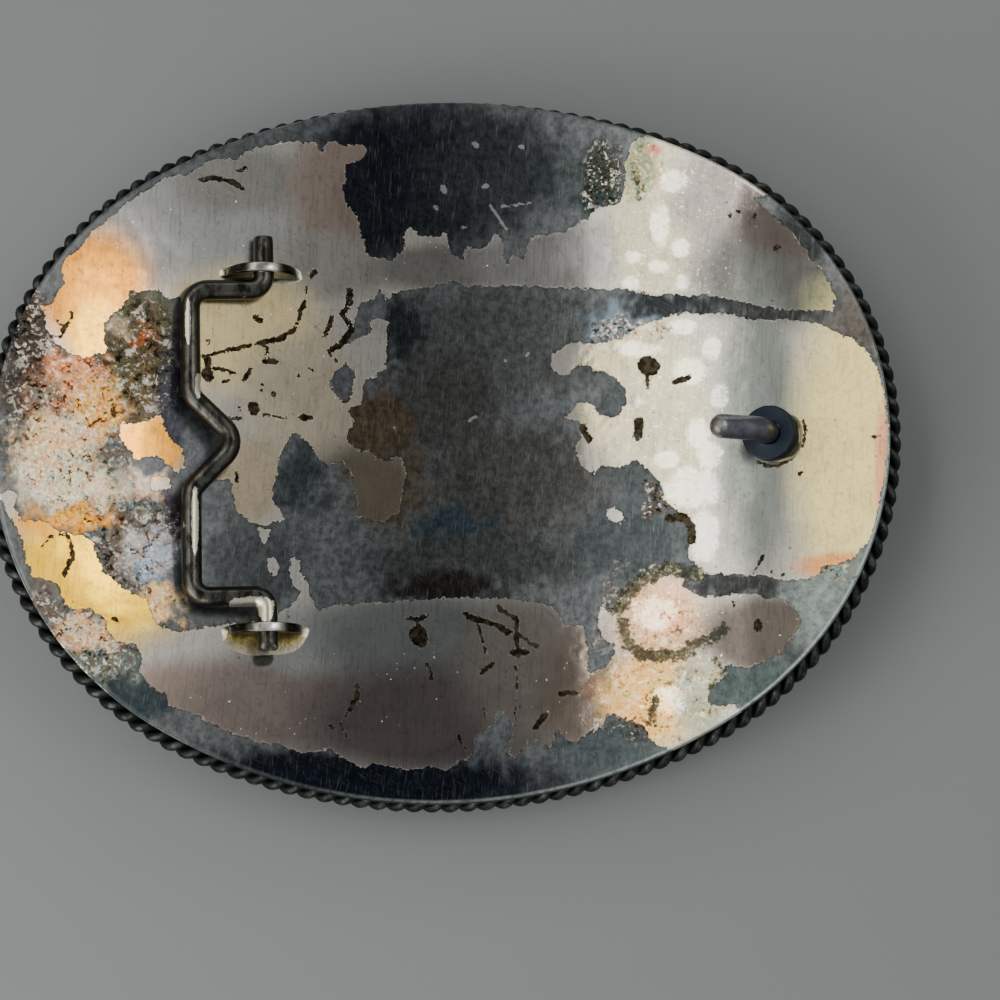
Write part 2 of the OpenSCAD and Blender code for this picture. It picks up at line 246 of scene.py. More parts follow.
# Where the metal is corroded into bright and dark flakes: middle, half width and half height of each
# soft patch, as in every list below
CORRODED = [
    (70, 420, 66, 95), (120, 540, 58, 60), (75, 640, 70, 50), (160, 610, 24, 24), (140, 360, 34, 62),
    (622, 330, 26, 16), (656, 500, 14, 16), (650, 620, 50, 50), (650, 700, 50, 40), (604, 178, 22, 30),
    (835, 572, 18, 10), (20, 320, 20, 40),
]
# Where the plating is dented and pebbled
PEBBLED = [(668, 400, 58, 330), (640, 650, 62, 90), (690, 200, 60, 40), (635, 380, 50, 60)]
# Smooth places in the pebbled plating that throw the lamp straight back, also painted whiter as
# highlights
GLINTS = [
    (674, 181, 14, 11), (660, 225, 10, 20), (681, 248, 9, 9), (632, 257, 8, 6), (658, 267, 10, 6),
    (631, 283, 9, 7), (683, 282, 7, 8), (682, 327, 15, 7), (634, 349, 24, 8), (712, 348, 9, 12),
    (690, 371, 16, 13), (720, 396, 9, 13), (634, 401, 6, 9), (698, 433, 12, 14), (667, 460, 13, 8),
    (710, 455, 13, 13), (694, 488, 27, 20), (704, 535, 15, 27), (655, 612, 22, 16), (668, 700, 18, 14),
]
# Where the plating comes off in coloured scales
SCALY = [
    (655, 625, 48, 40), (650, 700, 60, 50), (700, 695, 34, 44), (644, 170, 18, 40), (655, 335, 34, 12),
]
# Where the bail's wire is painted pale: strips of painted highlight along it, and patches of plating
# left on it
BAIL_HIGHLIGHTS_AND_WEAR = [
    (188, 322, 3, 24), (195, 520, 4, 36), (198, 386, 3, 14), (252, 604, 24, 8), (266, 612, 8, 10),
    (262, 268, 6, 4),
]
# Painted highlights on the stud's rod: a line along its upper edge and a fleck near its tip
STUD_HIGHLIGHTS = [(737, 417, 22, 2), (724, 425, 3, 5)]
# Where the plating is flecked with bright specks, painted white as sparkle highlights
PAINTED_SPARKLE_PLACES = [
    (190, 230, 110, 60), (330, 180, 60, 50), (290, 360, 70, 80), (680, 230, 70, 100),
    (660, 430, 60, 130), (750, 380, 50, 70), (300, 690, 160, 60), (560, 660, 40, 70),
    (700, 620, 90, 70), (90, 290, 60, 60), (480, 265, 140, 26),
]
# Where the band of light from the strip lamp comes in and where it goes out, across the picture
BAND_FROM = (575, 610)
BAND_TO = (752, 722)
# Where the painted highlight line inside the rim comes in, down and across the picture, its least
# share at the left, and how far inside the rim it begins and ends
LIP_DOWN = (330, 480)
LIP_ACROSS = (240, 480)
LIP_FAINTEST = 0.25
LIP_OUTER_MM = (0.05, 0.25)
LIP_INNER_MM = (0.55, 0.42)


class BucklePlateSizes(bpy.types.PropertyGroup):
    length: bpy.props.FloatProperty(
        name="Length", description="Length of the plate without its rope edge", default=0.1240, unit="LENGTH")
    width: bpy.props.FloatProperty(
        name="Width", description="Width of the plate without its rope edge", default=0.1010, unit="LENGTH")
    end_radius: bpy.props.FloatProperty(
        name="End radius", description="Radius of the oval's two ends", default=0.0461, unit="LENGTH")
    thickness: bpy.props.FloatProperty(
        name="Thickness", description="Thickness of the sheet", default=0.0013, unit="LENGTH")
    dish_long: bpy.props.FloatProperty(
        name="Dish along", description="Radius of the dish along the length", default=0.125, unit="LENGTH")
    dish_cross: bpy.props.FloatProperty(
        name="Dish across", description="Radius of the dish across the width", default=0.160, unit="LENGTH")
    lip: bpy.props.FloatProperty(
        name="Lip", description="Rounding of the plate's edge", default=0.00035, unit="LENGTH")


class BuckleRopeSizes(bpy.types.PropertyGroup):
    length: bpy.props.FloatProperty(
        name="Length", description="Length over the middle of the rope", default=0.1248, unit="LENGTH")
    width: bpy.props.FloatProperty(
        name="Width", description="Width over the middle of the rope", default=0.1000, unit="LENGTH")
    end_radius: bpy.props.FloatProperty(
        name="End radius", description="Radius of the rope's two ends", default=0.0465, unit="LENGTH")
    thickness: bpy.props.FloatProperty(
        name="Thickness", description="Diameter over both wires", default=0.0030, unit="LENGTH")
    drop: bpy.props.FloatProperty(
        name="Drop", description="How deep the rope lies under the hollow side",
        default=0.00295, unit="LENGTH")
    knots: bpy.props.IntProperty(
        name="Knots", description="Number of knots round the rim", default=144)
    colour: bpy.props.FloatVectorProperty(
        name="Colour", description="Blackened wire", subtype="COLOR", size=3,
        default=(0.012, 0.015, 0.015))
    crest_colour: bpy.props.FloatVectorProperty(
        name="Crests", description="Wire worn bright", subtype="COLOR", size=3,
        default=(0.075, 0.08, 0.07))


class BuckleFittingSizes(bpy.types.PropertyGroup):
    ear_x: bpy.props.FloatProperty(
        name="Ear place", description="Distance of the ears from the middle", default=0.0257, unit="LENGTH")
    ear_y: bpy.props.FloatProperty(
        name="Ear spacing", description="Half the distance between the ears", default=0.0258, unit="LENGTH")
    ear_shift: bpy.props.FloatProperty(
        name="Ear shift", description="How far the pair sits off the middle line",
        default=0.0004, unit="LENGTH")
    ear_radius: bpy.props.FloatProperty(
        name="Ear radius", description="Radius of the half-round ear", default=0.0053, unit="LENGTH")
    ear_thickness: bpy.props.FloatProperty(
        name="Ear thickness", description="Thickness of the ear", default=0.0013, unit="LENGTH")
    ear_hole: bpy.props.FloatProperty(
        name="Ear hole", description="Radius of the hole for the hinge pin", default=0.00151, unit="LENGTH")
    pivot_height: bpy.props.FloatProperty(
        name="Pivot height", description="Height of the hinge above the plate", default=0.0033, unit="LENGTH")
    stud_x: bpy.props.FloatProperty(
        name="Stud place", description="Distance of the stud from the middle", default=0.0464, unit="LENGTH")
    foot_radius: bpy.props.FloatProperty(
        name="Foot radius", description="Radius of the stud's foot", default=0.0039, unit="LENGTH")
    foot_height: bpy.props.FloatProperty(
        name="Foot height", description="Height of the stud's foot", default=0.0019, unit="LENGTH")
    rod_radius: bpy.props.FloatProperty(
        name="Rod radius", description="Radius of the stud's rod", default=0.0017, unit="LENGTH")
    rod_rise: bpy.props.FloatProperty(
        name="Rod rise", description="Straight rise of the rod out of its foot",
        default=0.0016, unit="LENGTH")
    rod_bend_radius: bpy.props.FloatProperty(
        name="Rod bend", description="Radius of the rod's bend", default=0.003, unit="LENGTH")
    rod_angle: bpy.props.FloatProperty(
        name="Rod angle", description="How far the rod leans over",
        default=math.radians(45), subtype="ANGLE")
    rod_reach: bpy.props.FloatProperty(
        name="Rod reach", description="Straight length beyond the bend", default=0.0052, unit="LENGTH")
    stud_colour: bpy.props.FloatVectorProperty(
        name="Stud colour", description="Blued black of the stud", subtype="COLOR", size=3,
        default=(0.012, 0.017, 0.027))


class BuckleBailSizes(bpy.types.PropertyGroup):
    wire_radius: bpy.props.FloatProperty(
        name="Wire radius", description="Radius of the bail's wire", default=0.00145, unit="LENGTH")
    reach: bpy.props.FloatProperty(
        name="Reach", description="From the hinge to the belt bar", default=0.0105, unit="LENGTH")
    arm_y: bpy.props.FloatProperty(
        name="Arms", description="Half the distance between the arms", default=0.0221, unit="LENGTH")
    pin_end: bpy.props.FloatProperty(
        name="Pin ends", description="Half the length over the pins", default=0.0297, unit="LENGTH")
    shift: bpy.props.FloatProperty(
        name="Shift", description="How far the bail has slid along its pins", default=0.0012, unit="LENGTH")
    notch: bpy.props.FloatProperty(
        name="Notch", description="Depth of the square notch", default=0.0068, unit="LENGTH")
    lift: bpy.props.FloatProperty(
        name="Lift", description="How far the bail lies off level",
        default=math.radians(2.5), subtype="ANGLE")
    colour: bpy.props.FloatVectorProperty(
        name="Colour", description="Dark oxide on the wire", subtype="COLOR", size=3,
        default=(0.024, 0.024, 0.021))
    worn_colour: bpy.props.FloatVectorProperty(
        name="Worn colour", description="Plating left on the wire", subtype="COLOR", size=3,
        default=(0.62, 0.58, 0.48))


class BuckleStageSettings(bpy.types.PropertyGroup):
    floor_colour: bpy.props.FloatVectorProperty(
        name="Floor", description="Colour of the floor", subtype="COLOR", size=3,
        default=(0.187, 0.20, 0.202))
    room_light: bpy.props.FloatProperty(
        name="Room light", description="Strength of the even light all round", default=0.33)
    strip_light: bpy.props.FloatProperty(
        name="Strip light", description="Brightness of the wide lamp to the left", default=3.52)
    card_light: bpy.props.FloatProperty(
        name="Card light", description="Brightness of the warm card, which the other two follow", default=1.3)
    side_light: bpy.props.FloatProperty(
        name="Side light", description="Brightness of the small lamp to the right", default=6.0)
    key_light: bpy.props.FloatProperty(
        name="Key light", description="Brightness of the big soft lamp in front", default=5.0)


def four_arcs(length, width, end_radius, count):
    """Points of a four-arc oval at even steps from its right-hand end, and the directions out of it."""
    side_radius = (length / 2 - end_radius) ** 2 + width ** 2 / 4 - end_radius ** 2
    side_radius /= width - 2 * end_radius
    side_drop = side_radius - width / 2
    join = math.atan2(side_drop, length / 2 - end_radius)
    end_run = end_radius * join
    quarter = end_run + side_radius * (math.pi / 2 - join)
    way = np.arange(count) / count * 4 * quarter
    part = np.minimum((way // quarter).astype(int), 3)
    rest = way - part * quarter
    rest = np.where(part % 2 == 1, quarter - rest, rest)
    on_end = rest < end_run
    angle = np.where(on_end, rest / end_radius, join + (rest - end_run) / side_radius)
    radius = np.where(on_end, end_radius, side_radius)
    x = radius * np.cos(angle) + np.where(on_end, length / 2 - end_radius, 0)
    y = radius * np.sin(angle) - np.where(on_end, 0, side_drop)
    flip_x = np.where((part == 1) | (part == 2), -1, 1)
    flip_y = np.where(part >= 2, -1, 1)
    points = np.stack([x * flip_x, y * flip_y], 1)
    outward = np.stack([np.cos(angle) * flip_x, np.sin(angle) * flip_y], 1)
    return points, outward


def dish_ring(plate, y, depth):
    """Radius of the dish along the length, at y across it and sunk by depth."""
    return plate.dish_long - plate.dish_cross + np.sqrt((plate.dish_cross + depth) ** 2 - y * y)


def dish_height(plate, x, y, depth=0.0):
    """Height of the dish, sunk by depth below the hollow side."""
    return plate.thickness + plate.dish_long - np.sqrt(dish_ring(plate, y, depth) ** 2 - x * x)


def dish_up(plate, x, y, depth=0.0):
    """Direction square to the dish, into the hollow."""
    lean = np.arcsin(x / dish_ring(plate, y, depth))
    roll = np.arcsin(y / (plate.dish_cross + depth))
    return np.stack([-np.sin(lean) * np.cos(roll), -np.sin(roll), np.cos(lean) * np.cos(roll)], -1)


def shot_axes():
    """The photograph's camera: its place, and its right, up and backward directions."""
    back = np.array([math.tan(math.radians(SHOT_LEAN_X)), -math.tan(math.radians(SHOT_LEAN_Y)), 1.0])
    back /= np.linalg.norm(back)
    turn = math.radians(SHOT_TURN)
    right = np.cross([math.sin(turn), math.cos(turn), 0.0], back)
    right /= np.linalg.norm(right)
    return np.array(SHOT_AIM) + SHOT_DISTANCE * back, right, np.cross(back, right), back


def to_pixels(points):
    """Where points of the buckle lie in the photograph."""
    place, right, up, back = shot_axes()
    ray = points - place
    far = -(ray @ back)
    focal = SHOT_PIXELS_PER_METRE * SHOT_DISTANCE
    across = PHOTO_MIDDLE + focal * (ray @ right) / far
    down = PHOTO_MIDDLE - focal * (ray @ up) / far
    return np.stack([across, down], 1)


def distance_to_path(pixels, corners):
    """Distance of each pixel place from a line through the corners."""
    best = np.full(len(pixels), np.inf)
    for a, b in zip(corners[:-1], corners[1:]):
        run = b - a
        along = np.clip(((pixels - a) @ run) / max(run @ run, 1e-9), 0, 1)
        best = np.minimum(best, np.linalg.norm(pixels - a - along[:, None] * run, axis=1))
    return best


def depth_in_outline(pixels, outline):
    """How far each pixel place lies inside a closed outline; negative outside it."""
    corners = np.array(outline + outline[:1], float)
    inside = np.zeros(len(pixels), bool)
    x, y = pixels[:, 0], pixels[:, 1]
    for (ax, ay), (bx, by) in zip(corners[:-1], corners[1:]):
        if ay == by:
            continue
        crosses = ((ay > y) != (by > y)) & (x < (bx - ax) * (y - ay) / (by - ay) + ax)
        inside ^= crosses
    distance = distance_to_path(pixels, corners)
    return np.where(inside, distance, -distance)


def depth_in_any(pixels, outlines):
    """How far each pixel place lies inside the outline that it is deepest in; negative outside all."""
    return np.max([depth_in_outline(pixels, outline) for outline in outlines], axis=0)


def soft_step(value, low, high):
    """Zero up to low, one from high, with a smooth rise between; low may be the larger one."""
    t = np.clip((value - low) / (high - low), 0, 1)
    return t * t * (3 - 2 * t)


def band_faces(first, second, count):
    """Quads between two rings with the same number of points."""
    i = np.arange(count)
    j = (i + 1) % count
    return np.stack([first + i, second + i, second + j, first + j], 1).tolist()


def halving_faces(coarse, fine, count):
    """Triangles between a ring of count points and one of twice as many."""
    i = np.arange(count)
    j = (i + 1) % count
    low, middle, high = fine + 2 * i, fine + 2 * i + 1, fine + 2 * j
    parts = [(coarse + i, low, middle), (coarse + i, middle, coarse + j), (coarse + j, middle, high)]
    return [face for part in parts for face in np.stack(part, 1).tolist()]


def make_piece(name, points, faces, body, replaces=()):
    """A smooth mesh that rides a body of the frame."""
    mesh = bpy.data.meshes.new(name)
    mesh.from_pydata([tuple(p) for p in np.asarray(points, float)], [], faces)
    mesh.validate()
    mesh.update()
    mesh.polygons.foreach_set("use_smooth", np.ones(len(mesh.polygons), bool))
    piece = bpy.data.objects.new(name, mesh)
    bpy.context.scene.collection.objects.link(piece)
    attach(piece, body)
    if replaces:
        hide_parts(*replaces)
    return piece


def keep_values(piece, name, values):
    """Stores a number or a colour at each point of the piece, for its material to read."""
    values = np.asarray(values, np.float32)
    if values.ndim == 1:
        piece.data.attributes.new(name, "FLOAT", "POINT").data.foreach_set("value", values)
        return
    coloured = np.concatenate([values, np.ones((len(values), 1), np.float32)], 1)
    piece.data.attributes.new(name, "FLOAT_COLOR", "POINT").data.foreach_set("color", coloured.ravel())


def swept_tube(path, radii, sides, first_side):
    """Rings of points round a path, each with its own radius."""
    ahead = np.gradient(path, axis=0)
    ahead /= np.linalg.norm(ahead, axis=1)[:, None]
    across = first_side - (first_side * ahead).sum(1)[:, None] * ahead
    across /= np.linalg.norm(across, axis=1)[:, None]
    other = np.cross(ahead, across)
    angle = np.arange(sides) / sides * 2 * math.pi
    cosine, sine = np.cos(angle)[None, :, None], np.sin(angle)[None, :, None]
    ring = cosine * across[:, None, :] + sine * other[:, None, :]
    return path[:, None, :] + radii[:, None, None] * ring


def tube_faces(rings, sides, start=0):
    firsts = [start + i * sides for i in range(rings)]
    return [face for a, b in zip(firsts[:-1], firsts[1:]) for face in band_faces(a, b, sides)]


class Finish:
    """A material being built, with short calls for its nodes."""

    def __init__(self, name):
        self.material = bpy.data.materials.new(name)
        self.material.use_nodes = True
        self.tree = self.material.node_tree
        self.tree.nodes.clear()
        self.shader = self.tree.nodes.new("ShaderNodeBsdfPrincipled")
        output = self.tree.nodes.new("ShaderNodeOutputMaterial")
        self.tree.links.new(self.shader.outputs["BSDF"], output.inputs["Surface"])
        self.place = self.tree.nodes.new("ShaderNodeTexCoord").outputs["Object"]

    def put(self, socket, value):
        if isinstance(value, bpy.types.NodeSocket):
            self.tree.links.new(value, socket)
        elif isinstance(value, tuple) and len(value) == 3 and socket.type == "RGBA":
            socket.default_value = (*value, 1.0)
        else:
            socket.default_value = value

    def set(self, name, value):
        self.put(self.shader.inputs[name], value)

    def stored(self, name, colour=False):
        node = self.tree.nodes.new("ShaderNodeAttribute")
        node.attribute_name = name
        return node.outputs["Color" if colour else "Fac"]

    def scaled(self, size, turn=0.0, shift=(0.0, 0.0, 0.0)):
        """Object coordinates measured in units of size, a length or three lengths, in millimetres."""
        node = self.tree.nodes.new("ShaderNodeMapping")
        node.vector_type = "TEXTURE"
        sizes = size if isinstance(size, tuple) else (size, size, size)
        node.inputs["Location"].default_value = shift
        node.inputs["Rotation"].default_value = (0.0, 0.0, math.radians(turn))
        node.inputs["Scale"].default_value = tuple(s * MM for s in sizes)
        self.tree.links.new(self.place, node.inputs["Vector"])
        return node.outputs["Vector"]

    def noise(self, size, detail=3.0, rough=0.55, turn=0.0, shift=(0.0, 0.0, 0.0), warp=0.0):
        node = self.tree.nodes.new("ShaderNodeTexNoise")
        self.tree.links.new(self.scaled(size, turn, shift), node.inputs["Vector"])
        node.inputs["Scale"].default_value = 1.0
        node.inputs["Detail"].default_value = detail
        node.inputs["Roughness"].default_value = rough
        node.inputs["Distortion"].default_value = warp
        return node.outputs["Fac"]

    def vector_sum(self, operation, a, b, c=None, output="Vector"):
        node = self.tree.nodes.new("ShaderNodeVectorMath")
        node.operation = operation
        for socket, value in zip(node.inputs, (a, b) if c is None else (a, b, c)):
            self.put(socket, value)
        return node.outputs[output]

    def cells(self, size, warp=0.0):
        """Cells about size apart, whose borders warp pushes about: how far from its middle each place
        lies, the cell's own random colour, and the height of a flat facet tilted its own way."""
        vector = self.scaled(size)
        if warp:
            stir = self.tree.nodes.new("ShaderNodeTexNoise")
            self.put(stir.inputs["Vector"], vector)
            stir.inputs["Scale"].default_value = 1.3
            reach = (2 * warp, 2 * warp, 2 * warp)
            vector = self.vector_sum("MULTIPLY_ADD", stir.outputs["Color"], reach, vector)
        node = self.tree.nodes.new("ShaderNodeTexVoronoi")
        self.put(node.inputs["Vector"], vector)
        node.inputs["Scale"].default_value = 1.0
        lean = self.vector_sum("SUBTRACT", node.outputs["Color"], (0.5, 0.5, 0.5))
        across = self.vector_sum("SUBTRACT", vector, node.outputs["Position"])
        facet = self.vector_sum("DOT_PRODUCT", lean, across, output="Value")
        return node.outputs["Distance"], node.outputs["Color"], facet

    def channel(self, colour, index):
        node = self.tree.nodes.new("ShaderNodeSeparateColor")
        self.put(node.inputs[0], colour)
        return node.outputs[index]

    def sum(self, operation, a, b=0.0, c=0.0):
        node = self.tree.nodes.new("ShaderNodeMath")
        node.operation = operation
        for socket, value in zip(node.inputs, (a, b, c)):
            self.put(socket, value)
        return node.outputs[0]

    def step(self, value, low, high, bottom=0.0, top=1.0):
        node = self.tree.nodes.new("ShaderNodeMapRange")
        node.interpolation_type = "SMOOTHSTEP"
        for socket, number in zip(node.inputs, (value, low, high, bottom, top)):
            self.put(socket, number)
        return node.outputs[0]

    def facing(self, low, high):
        """Zero where the surface faces the eye, one towards its outline."""
        node = self.tree.nodes.new("ShaderNodeLayerWeight")
        node.inputs["Blend"].default_value = 0.5
        return self.step(node.outputs["Facing"], low, high)

    def blend(self, amount, a, b, kind="MIX"):
        node = self.tree.nodes.new("ShaderNodeMix")
        node.data_type = "RGBA"
        node.blend_type = kind
        self.put(node.inputs[0], amount)
        self.put(node.inputs[6], a)
        self.put(node.inputs[7], b)
        return node.outputs[2]

    def times(self, colour, factor):
        return self.blend(1.0, colour, factor, "MULTIPLY")

    def stained(self, amount, colour, factor):
        """A colour as it was where amount is zero, and multiplied by factor where it is one."""
        return self.blend(amount, colour, self.times(colour, factor))

    def between(self, amount, a, b):
        node = self.tree.nodes.new("ShaderNodeMix")
        node.data_type = "FLOAT"
        self.put(node.inputs[0], amount)
        self.put(node.inputs[2], a)
        self.put(node.inputs[3], b)
        return node.outputs[0]

    def ramp(self, value, stops):
        node = self.tree.nodes.new("ShaderNodeValToRGB")
        entries = node.color_ramp.elements
        while len(entries) < len(stops):
            entries.new(0.5)
        for entry, (where, colour) in zip(entries, stops):
            entry.position = where
            entry.color = (*colour, 1.0)
        self.put(node.inputs[0], value)
        return node.outputs[0]

    def bump(self, height, distance):
        node = self.tree.nodes.new("ShaderNodeBump")
        node.inputs["Strength"].default_value = 1.0
        node.inputs["Distance"].default_value = distance
        self.put(node.inputs["Height"], height)
        return node.outputs["Normal"]


def paint(code):
    """A colour written as on screen, such as 8a8078, in the linear values that shaders use."""
    parts = [int(code[i:i + 2], 16) / 255 for i in (0, 2, 4)]
    return tuple(p / 12.92 if p <= 0.04045 else ((p + 0.055) / 1.055) ** 2.4 for p in parts)


def plate_points(plate):
    """Points and faces of the plate, ring by ring: the hollow side, the rounded rim and the domed
    front. The last value tells which faces belong to the front."""
    fine, coarse = 720, 360
    inner_rings, outer_rings, front_rings = 60, 74, 14
    outline, outward = four_arcs(plate.length, plate.width, plate.end_radius, fine)
    edge = outline - plate.lip * outward
    points, faces = [np.array([[0.0, 0.0, dish_height(plate, 0.0, 0.0)]])], []

    def lay(flat, depth):
        start = sum(len(p) for p in points)
        points.append(np.column_stack([flat, dish_height(plate, flat[:, 0], flat[:, 1], depth)]))
        return start

    last = lay(edge[::2] * 0.5 / inner_rings, 0.0)
    faces += [(0, last + i, last + (i + 1) % coarse) for i in range(coarse)]
    for k in range(2, inner_rings + 1):
        ring = lay(edge[::2] * 0.5 * k / inner_rings, 0.0)
        faces += band_faces(last, ring, coarse)
        last = ring
    for k in range(1, outer_rings + 1):
        ring = lay(edge * (0.5 + 0.5 * k / outer_rings), 0.0)
        faces += halving_faces(last, ring, coarse) if k == 1 else band_faces(last, ring, fine)
        last = ring
    hollow_faces = len(faces)
    quarter_turn = [math.radians(a) for a in (30, 60, 90)]
    rim = [(plate.lip * (1 - math.sin(a)), plate.lip * (1 - math.cos(a))) for a in quarter_turn]
    rim += [(plate.lip * (1 - math.cos(a)), plate.thickness - plate.lip * (1 - math.sin(a)))
            for a in [0.0] + quarter_turn]
    for inset, depth in rim:
        ring = lay(outline - inset * outward, depth)
        faces += band_faces(last, ring, fine)
        last = ring
    for k in range(1, front_rings):
        ring = lay(edge * (1 - k / front_rings), plate.thickness)
        faces += band_faces(last, ring, fine)
        last = ring
    middle = lay(np.zeros((1, 2)), plate.thickness)
    faces += [(last + i, middle, last + (i + 1) % fine) for i in range(fine)]
    on_front = np.arange(len(faces)) >= hollow_faces + len(quarter_turn) * fine
    return np.concatenate(points), faces, on_front


def frayed(f, depth, coarse, fine, coarse_reach, fine_reach):
    """A charted depth in millimetres, moved in and out by two noises so that its edge is ragged."""
    depth = f.sum("MULTIPLY_ADD", f.sum("SUBTRACT", coarse, 0.5), coarse_reach, depth)
    return f.sum("MULTIPLY_ADD", f.sum("SUBTRACT", fine, 0.5), fine_reach, depth)


def plating_colour(f, into_worn, clouds, grime):
    """The silver plating: drifting clouds of tarnish, grime, scuffs, brown freckles and a painted highlight
    along its broken edge.
    """
    # Charted colour: tarnish tones mixed with painted reflections of the room
    colour = f.stored("plating_tint_and_reflection", colour=True)
    colour = f.stained(f.step(clouds, 0.45, 0.66, 0.0, 0.25), colour, (0.55, 0.52, 0.52))
    colour = f.stained(f.step(grime, 0.50, 0.70, 0.0, 0.50), colour, (0.50, 0.45, 0.40))
    upright = f.noise((0.35, 4.0, 4.0), 4.0, 0.62, turn=-5.0)
    slanted = f.noise((0.24, 2.6, 2.6), 4.0, 0.62, turn=48.0)
    scuffs = f.sum("MAXIMUM", f.step(upright, 0.50, 0.64), f.step(slanted, 0.56, 0.68))
    colour = f.stained(f.sum("MULTIPLY", scuffs, 0.36), colour, (0.54, 0.50, 0.46))
    far, lot, _ = f.cells(0.85, warp=0.4)
    spot = f.sum("SUBTRACT", far, f.sum("MULTIPLY", f.channel(lot, 1), 0.22))
    freckle = f.sum("MULTIPLY", f.step(spot, 0.08, -0.06), f.step(f.channel(lot, 0), 0.91, 0.93))
    colour = f.blend(f.sum("MULTIPLY", freckle, 0.6), colour, paint("3b3026"))
    # Painted highlight: a pale line along the plating's broken edge, where the raised edge would catch the
    # light
    edge = f.sum("MULTIPLY", f.step(into_worn, -0.20, -0.04), f.step(grime, 0.48, 0.62, 0.0, 0.42))
    return f.blend(edge, colour, paint("efe8da"))


def flaked_colour(f, tint, flakes, hue):
    """Corrosion in small flakes: rose, gold, cream and blue about the charted tint, with dark gaps."""
    hues = f.ramp(hue, [(0.16, paint("ffffff")), (0.28, paint("ff9a80")), (0.42, paint("ffc060")),
                        (0.56, paint("fff0c8")), (0.72, paint("e8f4f0")), (0.86, paint("a8c8f0"))])
    body = f.stained(0.62, tint, hues)
    dark = f.times(body, (0.10, 0.09, 0.08))
    colour = f.blend(f.step(flakes, 0.30, 0.40), dark, body)
    # Partly painted sparkle: the brightest flakes are blended towards near white, as highlights
    return f.blend(f.step(flakes, 0.60, 0.70), colour, f.blend(0.6, body, paint("fff8e8")))


def worn_colour(f, into_worn, mottle, smudges, flaked, corroded):
    """The metal under the plating: black to brown patina with fine scratches, or corroded flakes."""
    # Charted colour: patina and corrosion, with some painted reflection in the pale creams
    tint = f.stored("worn_tint_and_reflection", colour=True)
    colour = f.blend(f.step(smudges, 0.38, 0.62), f.times(tint, (0.70, 0.70, 0.71)), tint)
    colour = f.stained(f.step(mottle, 0.36, 0.60, 0.60, 0.0), colour, (0.40, 0.39, 0.38))
    upright = f.noise((0.22, 2.4, 2.4), 5.0, 0.68, turn=-7.0)
    slanted = f.noise((0.18, 1.8, 1.8), 5.0, 0.68, turn=52.0)
    scratch = f.sum("MAXIMUM", f.step(upright, 0.53, 0.70), f.step(slanted, 0.56, 0.72, 0.0, 0.7))
    colour = f.blend(f.sum("MULTIPLY", scratch, 0.26), colour, f.blend(0.5, tint, paint("b8b8b4")))
    colour = f.blend(corroded, colour, flaked(tint))
    under = f.step(into_worn, 0.30, 0.04, 0.0, 0.75)
    return f.stained(under, colour, (0.30, 0.25, 0.20))


def glinting(f, ragged, fine, grime, pebbled):
    """Where the plating throws the lamp straight back, with fine sparkles in the pebbled plating, and
    the duller plating round those places. The glints also get a painted highlight.
    """
    glint = f.step(frayed(f, f.stored("glint"), ragged, fine, 3.0, 2.4), 0.44, 0.66)
    glint = f.sum("MULTIPLY", glint, f.step(f.stored("glint"), 0.04, 0.30))
    glint = f.sum("MULTIPLY", glint, f.step(grime, 0.38, 0.50, 0.25, 1.0))
    glint = f.sum("MAXIMUM", glint, f.sum("MULTIPLY", pebbled, f.step(fine, 0.60, 0.66)))
    halo = f.step(frayed(f, f.stored("glint"), ragged, grime, 1.2, 1.6), -0.1, 0.6, 0.0, 0.8)
    away = f.sum("MULTIPLY", f.stored("lit"), f.sum("SUBTRACT", 1.0, f.sum("MAXIMUM", glint, halo)))
    return glint, away


def painted_sparkles(f, worn):
    """Specks of many sizes, strewn in drifts over what is left of the plating, as painted highlights."""
    far, lot, _ = f.cells(0.75, warp=0.35)
    size = f.sum("MULTIPLY", f.sum("POWER", f.channel(lot, 1), 2.5), 0.20)
    sparkle = f.step(f.sum("SUBTRACT", far, size), 0.04, -0.04)
    sparkle = f.sum("MULTIPLY", sparkle, f.step(f.channel(lot, 0), 0.50, 0.52))
    strewn = f.step(f.noise(4.0, 2.0, shift=(0.1, 0.3, 0.0)), 0.44, 0.56)
    sparkle = f.sum("MULTIPLY", sparkle, f.sum("MULTIPLY", strewn, f.stored("painted_sparkle_places")))
    return f.sum("MULTIPLY", sparkle, f.sum("SUBTRACT", 1.0, worn))


def hollow_relief(f, worn, scar, crust, flakes, corroded, pebbled, grain_facet):
    """Height of the surface: swells and pebbles, tilted flakes, sunk worn metal and raised crust."""
    rise = f.sum("MULTIPLY", f.noise(4.2, 1.0, 0.5, shift=(0.0, 0.5, 0.0)), f.between(pebbled, 0.8, 1.8))
    rise = f.sum("MULTIPLY_ADD", f.noise(0.8, 2.0, 0.5), f.between(pebbled, 0.02, 0.10), rise)
    flaky = f.sum("MULTIPLY", f.sum("MULTIPLY", grain_facet, corroded), worn)
    rise = f.sum("MULTIPLY_ADD", flaky, 1.8, rise)
    rise = f.sum("MULTIPLY_ADD", f.sum("MAXIMUM", worn, scar), -0.35, rise)
    return f.sum("MULTIPLY_ADD", f.sum("MULTIPLY", crust, flakes), 0.8, rise)


